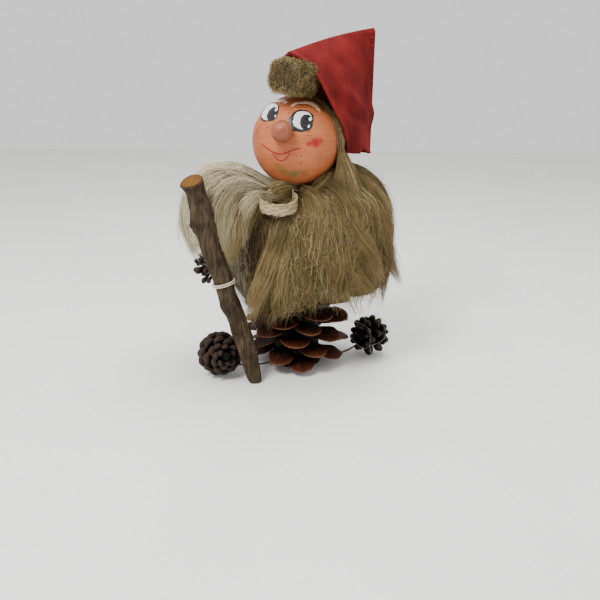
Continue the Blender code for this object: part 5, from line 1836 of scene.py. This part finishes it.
@dataclass
class Staff:
    """The twig that leans outwards, its sawn ends, and the string that ties it to the arm's wire."""

    foot: tuple[float, float, float] = (-35.0, -47.5, 0.8)
    length: float = 174.0
    radius: float = 7.7
    lean: float = math.radians(15.4)
    tie_height: float = 86.0
    # Share of the way up, how far the line strays aside, and the radius as a share.
    stations: tuple[tuple[float, float, float], ...] = (
        (0, 0.4, 0.71), (0.023, 0.3, 0.79), (0.08, 1.0, 0.9), (0.155, 1.7, 0.98), (0.27, 1.5, 1.03), (0.35, 1.2, 0.96),
        (0.40, -0.6, 1.09), (0.445, -0.4, 0.94), (0.48, 0, 0.97), (0.54, 0, 1), (0.6, -0.4, 1.04), (0.67, -1.2, 1.04),
        (0.745, -0.6, 1.09), (0.805, -1.4, 1.26), (0.86, 0.5, 1.07), (0.94, 0.6, 0.98), (0.977, 0.2, 1.14),
        (0.994, 0, 1.2), (1, 0, 1.13),
    )
    # Share of the way up, the angle round, and the size as a share of the length.
    knots: tuple[tuple[float, float, float], ...] = (
        (0.8, 3.5, 0.03), (0.4, 0.2, 0.022), (0.62, 5.2, 0.014), (0.27, 4.4, 0.016), (0.9, 5.0, 0.012),
        (0.14, 4.9, 0.014),
    )

    def axes(self) -> tuple[Array, Array]:
        """Up the staff, and aside."""
        up = np.array([-math.sin(self.lean), 0, math.cos(self.lean)])
        return up, np.array([up[2], 0, -up[0]])

    def shape_at(self, share: Array) -> Array:
        """The stray and the radius at shares of the way up."""
        table = np.array(self.stations)
        return np.stack([np.interp(share, table[:, 0], table[:, k]) for k in (1, 2)], axis=-1) * (1, self.radius)

    def build(self, shop: Shop) -> None:
        """Makes the bark, the cuts and the string."""
        up, aside = self.axes()
        share = np.linspace(0, 1, 150)
        around = np.linspace(0, 2 * math.pi, 44, endpoint=False)
        stray, radius = self.shape_at(share).T
        middle = np.array(self.foot) + up * (share * self.length)[:, None] + aside * stray[:, None]
        ring = aside[None] * np.cos(around)[:, None] + np.array([0, 1.0, 0]) * np.sin(around)[:, None]
        knot = np.zeros((150, 44))
        for at, angle, size in self.knots:
            turn = (around[None] - angle + math.pi) % (2 * math.pi) - math.pi
            swell = np.exp(-(((share[:, None] - at) / size) ** 2) - (turn / 0.45) ** 2)
            knot = np.maximum(knot, swell)
        wall = radius[:, None] * 0.99 + 0.9 * knot - 0.5 * np.exp(-(((knot - 0.75) / 0.12) ** 2))
        spots = np.zeros((*knot.shape, 3))
        spots[..., 0], spots[..., 1] = np.cos(around)[None] * 6, np.sin(around)[None] * 6
        spots[..., 2] = share[:, None] * 40
        wall = wall + swirl(spots, 5, 3)[..., 0] * 0.28 + swirl(spots, 2.2, 4)[..., 1] * 0.13
        wall[-1] = np.minimum(wall[-1], radius[-1] * 0.99)
        wall[0] = np.minimum(wall[0], radius[0] * 0.99)
        rows = middle[:, None] + ring[None] * wall[..., None]
        rows[0, :, 2] = rows[0, :, 2].clip(self.foot[2] - 0.5, self.foot[2])
        top = np.clip((share - 0.93) / 0.07, 0, 1)[:, None] ** 1.5
        rows = rows + up * (top * (np.sin(around)[None] * 3.4 - 3.0))[..., None]
        bark = Shape()
        bark.grid(rows, wrap=True, ends=True, knot=knot)
        place_piece(bark.build("twig", shop.finish(BarkFinish()), 60), Body.STAFF, Slot.BARK, "staff")
        for name, level, lift in (("top_cut", -1, 0.25), ("foot_cut", 0, -0.15)):
            centre, edge = rows[level].mean(axis=0), rows[level]
            face = Shape()
            discs = []
            for q, h in ((0.97, 0), (0.95, 1), (0.6, 1.3), (0.25, 1), (0.02, 1.2), (0.02, 0)):
                discs.append(centre + (edge - centre) * q + up * lift * h)
            face.grid(np.array(discs), wrap=True, ends=True)
            finish = CutFinish(name, tuple(float(c) for c in centre))
            place_piece(face.build(name, shop.finish(finish), 60), Body.STAFF, Slot.BARK)
        self.tie(shop)

    def tie(self, shop: Shop) -> None:
        """Two turns of twisted string round the staff and the wire behind it."""
        along = (self.tie_height - self.foot[2]) / math.cos(self.lean)
        stray, radius = self.shape_at(np.array(along / self.length))
        up, aside = self.axes()
        middle = np.array(self.foot) + up * along
        reach = self.radius + 7
        # Half the string and its room, outside the staff and outside the wire.
        staff_r, wire_r = radius + 0.55 + 0.8, 1.25 + 0.55 + 1.1
        lean = math.asin((staff_r - wire_r) / reach)
        outline = []
        for step in range(25):
            angle = -lean + (math.pi + 2 * lean) * step / 24
            outline.append((math.cos(angle) * staff_r, -math.sin(angle) * staff_r))
        for step in range(11):
            angle = math.pi + lean + (math.pi - 2 * lean) * step / 10
            outline.append((math.cos(angle) * wire_r, reach - math.sin(angle) * wire_r))
        count = len(outline)
        path = []
        for step in range(2 * count + 1):
            x, y = outline[(count - 6 + step) % count]
            spot = middle + aside * (x + stray * (1 - y / reach)) + np.array([0, y, 0])
            path.append(spot + up * 1.6 * (step / count - 1))
        fine = smooth_path(path, 420)
        cord = shop.yarn("string_tie", fine, 0.6, 2, 3.0, STRING)
        place_piece(cord, Body.FIGURE, Slot.STRING, "staff_tie")


THREAD = PlainFinish("thread", (0.1, 0.1, 0.11), (0.3, 0.31, 0.33), 0.8, wave=(1400, 1400, 1400), height=0.1)
STRING = PlainFinish("string", (0.45, 0.39, 0.28), (0.74, 0.69, 0.56), 0.85, wave=(1400, 1400, 1400), height=0.15)
IRON = PlainFinish("iron_wire", (0.05, 0.035, 0.028), (0.17, 0.12, 0.095), 0.5, 0.85, (500, 500, 500), 0.08)
WOOD = PlainFinish("dowel_wood", (0.42, 0.26, 0.13), (0.62, 0.43, 0.25), 0.65, wave=(700, 700, 60), height=0.15)
HIDE = PlainFinish("raw_hide", (0.15, 0.1, 0.045), (0.45, 0.35, 0.19), 0.7, wave=(160, 160, 900), height=0.5)


@dataclass
class Trimmings:
    """The hide strip, the thread round the left foot, and the pieces whose solids stay."""

    strip_thick: float = 1.1
    strip_height: float = 9.0
    foot: tuple[float, float, float] = (66.0, 9.0, 19.2)
    foot_radius: float = 18.5

    def build(self, shop: Shop, nodes: dict[str, Any]) -> None:
        """Makes the strip and the thread, and dresses the wires and the dowel.

        Args:
            shop: the shared recipes and finishes.
            nodes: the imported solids.
        """
        self.strip(shop)
        self.thread(shop)
        for name, finish in (("arm_wire", IRON), ("leg_wire", IRON), ("neck_dowel", WOOD)):
            nodes[name].data.materials.clear()
            nodes[name].data.materials.append(shop.finish(finish))

    def strip(self, shop: Shop) -> None:
        """Raw hide: round the neck, then forward, and curled into a ring on the chest."""
        neck_r, ring_r, ring = 13.5, 14.2, np.array([-15.0, -41.0])
        line = []
        for angle in np.radians(120 - 26 * np.arange(9)):
            line.append((math.cos(angle) * neck_r, -4 + math.sin(angle) * neck_r, 0.0))
        for angle in np.radians(38 - 22.5 * np.arange(15)):
            line.append((ring[0] + math.cos(angle) * ring_r, ring[1] + math.sin(angle) * ring_r, 0.0))
        path = smooth_path(line, 150)
        way = unit(np.gradient(path, axis=0))
        out = np.stack([-way[:, 1], way[:, 0], way[:, 2] * 0], axis=1)
        far = np.maximum(0, -path[:, 1] - 15)
        base = BODY_HEIGHT + 0.6 + 1.4 * np.minimum(1, far / 8) - 0.24 * np.maximum(0, far - 12)
        height = self.strip_height * np.where(far == 0, 0.55, 0.55 + 0.45 * np.minimum(1, far / 4))
        half = self.strip_thick / 2
        rows = []
        for place, rise in (
            (1, 0.06), (1.1, 0.3), (0.9, 0.6), (1, 0.9), (0.6, 1), (-0.6, 1), (-1, 0.9), (-0.9, 0.6),
            (-1.1, 0.3), (-1, 0.06), (-0.6, 0), (0.6, 0),
        ):
            spot = path + out * half * place
            spot[:, 2] = base + height * rise
            rows.append(spot)
        rows = np.stack(rows, axis=1)
        rows = rows + swirl(rows, 9, 6) * 0.35 + swirl(rows, 3.2, 7) * 0.1
        shape = Shape()
        shape.grid(rows, wrap=True, ends=True)
        place_piece(shape.build("hide_strip", shop.finish(HIDE), 60), Body.FIGURE, Slot.HIDE, "hide_collar")
        rng = np.random.default_rng(81)
        count = 300
        row, column = rng.integers(0, rows.shape[0], count), rng.integers(0, rows.shape[1], count)
        root = rows[row, column]
        aim = rng.normal(0, 1, root.shape) * (1, 1, 0.8) + way[row] * 1.6
        t = np.linspace(0, 1, 5)[None, :, None]
        paths = root[:, None] + aim[:, None] * t * rng.uniform(0.6, 2.2, (count, 1, 1))
        piece = shop.hair("hide_hair", paths, rng.normal(0.6, 0.15, count), 0.09, CREAM)
        place_piece(piece, Body.FIGURE, Slot.HIDE)

    def thread(self, shop: Shop) -> None:
        """Thread out of the body cone, twice round the left foot, and back."""
        stops = [(30, -3, 38), (47.4, -5, 37.8)]
        # Directions from the foot's middle, and how far outside its ball the thread runs.
        for x, y, z, clear in (
            (-10, -9, 14, 2.4), (-2.7, -15.7, 11.4, 2.9), (-1.4, -19, -4.4, 3.1), (1, -16, -10.5, 2.4),
            (8, -12, -12, 1.8), (16, -2, -9, 1.6), (17, 5, 4, 1.6), (9, 7, 14, 1.6), (3, 1, 18, 1.6), (9, -8, 14, 1.6),
            (12, -14, 5, 1.6), (7, -18, 0, 1.5), (0.1, -19.6, -1.8, 1.5), (-5.7, -17.8, -5.9, 1.5), (-13, -14, -3, 1.6),
            (-18.3, -5.8, 1.9, 1.6),
        ):
            way = np.array([x, y, z], float)
            stops.append(tuple(np.array(self.foot) + way / np.linalg.norm(way) * (self.foot_radius + clear - 0.5)))
        path = smooth_path([*stops, (40, 2, 25), (29, -1, 24)], 520)
        place_piece(shop.yarn("foot_thread", path, 0.2, 2, 2.0, THREAD), Body.FIGURE, Slot.STRING, "foot_tie")


# ---------------------------------------------------------------- room


@dataclass
class Studio:
    """A pale floor, soft light, and the camera, placed in millimetres and turned in radians."""

    eye: tuple[float, float, float] = (-6.0, -540.1, 244.9)
    pitch: float = 0.337566
    yaw: float = -0.0158945
    roll: float = 0.0101388
    lens: float = 39.31

    def build(self) -> None:
        """Makes the room."""
        paint = Paint("floor")
        cloud = paint.noise(6, 3)
        colour = paint.mix(cloud.between(0.3, 0.7), (0.78, 0.77, 0.75), (0.82, 0.81, 0.79))
        paint.close(colour, 0.6, paint.noise(300, 3), 0.05)
        shape = Shape()
        span = np.linspace(-1600, 1600, 9)
        x, y = np.meshgrid(span, span, indexing="ij")
        shape.grid(np.stack([x, y, x * 0 - 0.05], axis=-1))
        floor = shape.build("floor", paint.material)
        world = bpy.data.worlds.new("room")
        world.use_nodes = True
        sky = world.node_tree.nodes["Background"].inputs
        sky["Color"].default_value, sky["Strength"].default_value = (1, 1, 1, 1), 1.0
        bpy.context.scene.world = world
        for name, place, size, power in (
            ("key", (-0.45, -0.6, 1.0), 0.4, 16.0), ("top", (0.15, 0.15, 1.1), 0.6, 9.0),
            ("fill", (0.8, -0.5, 0.5), 0.7, 1.5),
        ):
            lamp = bpy.data.lights.new(name, "AREA")
            lamp.shape, lamp.size, lamp.energy = "DISK", size, power
            obj = link(name, lamp)
            obj.location = place
            aim = Vector((0, 0, 0.13)) - Vector(place)
            obj.rotation_euler = aim.to_track_quat("-Z", "Y").to_euler()
        self.camera()

    def camera(self) -> None:
        """Sets the camera by its place, pitch, yaw and roll."""
        level = Vector((-math.sin(self.yaw), math.cos(self.yaw), 0))
        right = Vector((math.cos(self.yaw), math.sin(self.yaw), 0))
        ahead = level * math.cos(self.pitch) - Vector((0, 0, math.sin(self.pitch)))
        upward = right.cross(ahead)
        across = right * math.cos(self.roll) + upward * math.sin(self.roll)
        top = upward * math.cos(self.roll) - right * math.sin(self.roll)
        data = bpy.data.cameras.new("camera")
        data.sensor_width, data.lens = 36.0, self.lens
        data.clip_start, data.clip_end = 0.01, 20
        obj = link("camera", data)
        basis = Matrix((across, top, -ahead)).transposed().to_4x4()
        obj.matrix_world = Matrix.Translation(Vector(self.eye) * MM) @ basis
        bpy.context.scene.camera = obj


def main() -> None:
    """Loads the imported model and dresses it."""
    logging.basicConfig(level=logging.INFO, format="%(name)s: %(message)s")
    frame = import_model()
    Studio().build()
    shop = Shop(strand_recipe(), scatter_recipe(), {})
    Cones().build(shop)
    Fur().build(shop)
    Head().build(shop)
    Hood().build(shop)
    Staff().build(shop)
    Trimmings().build(shop, frame["nodes"])


if __name__ == "__main__":
    main()
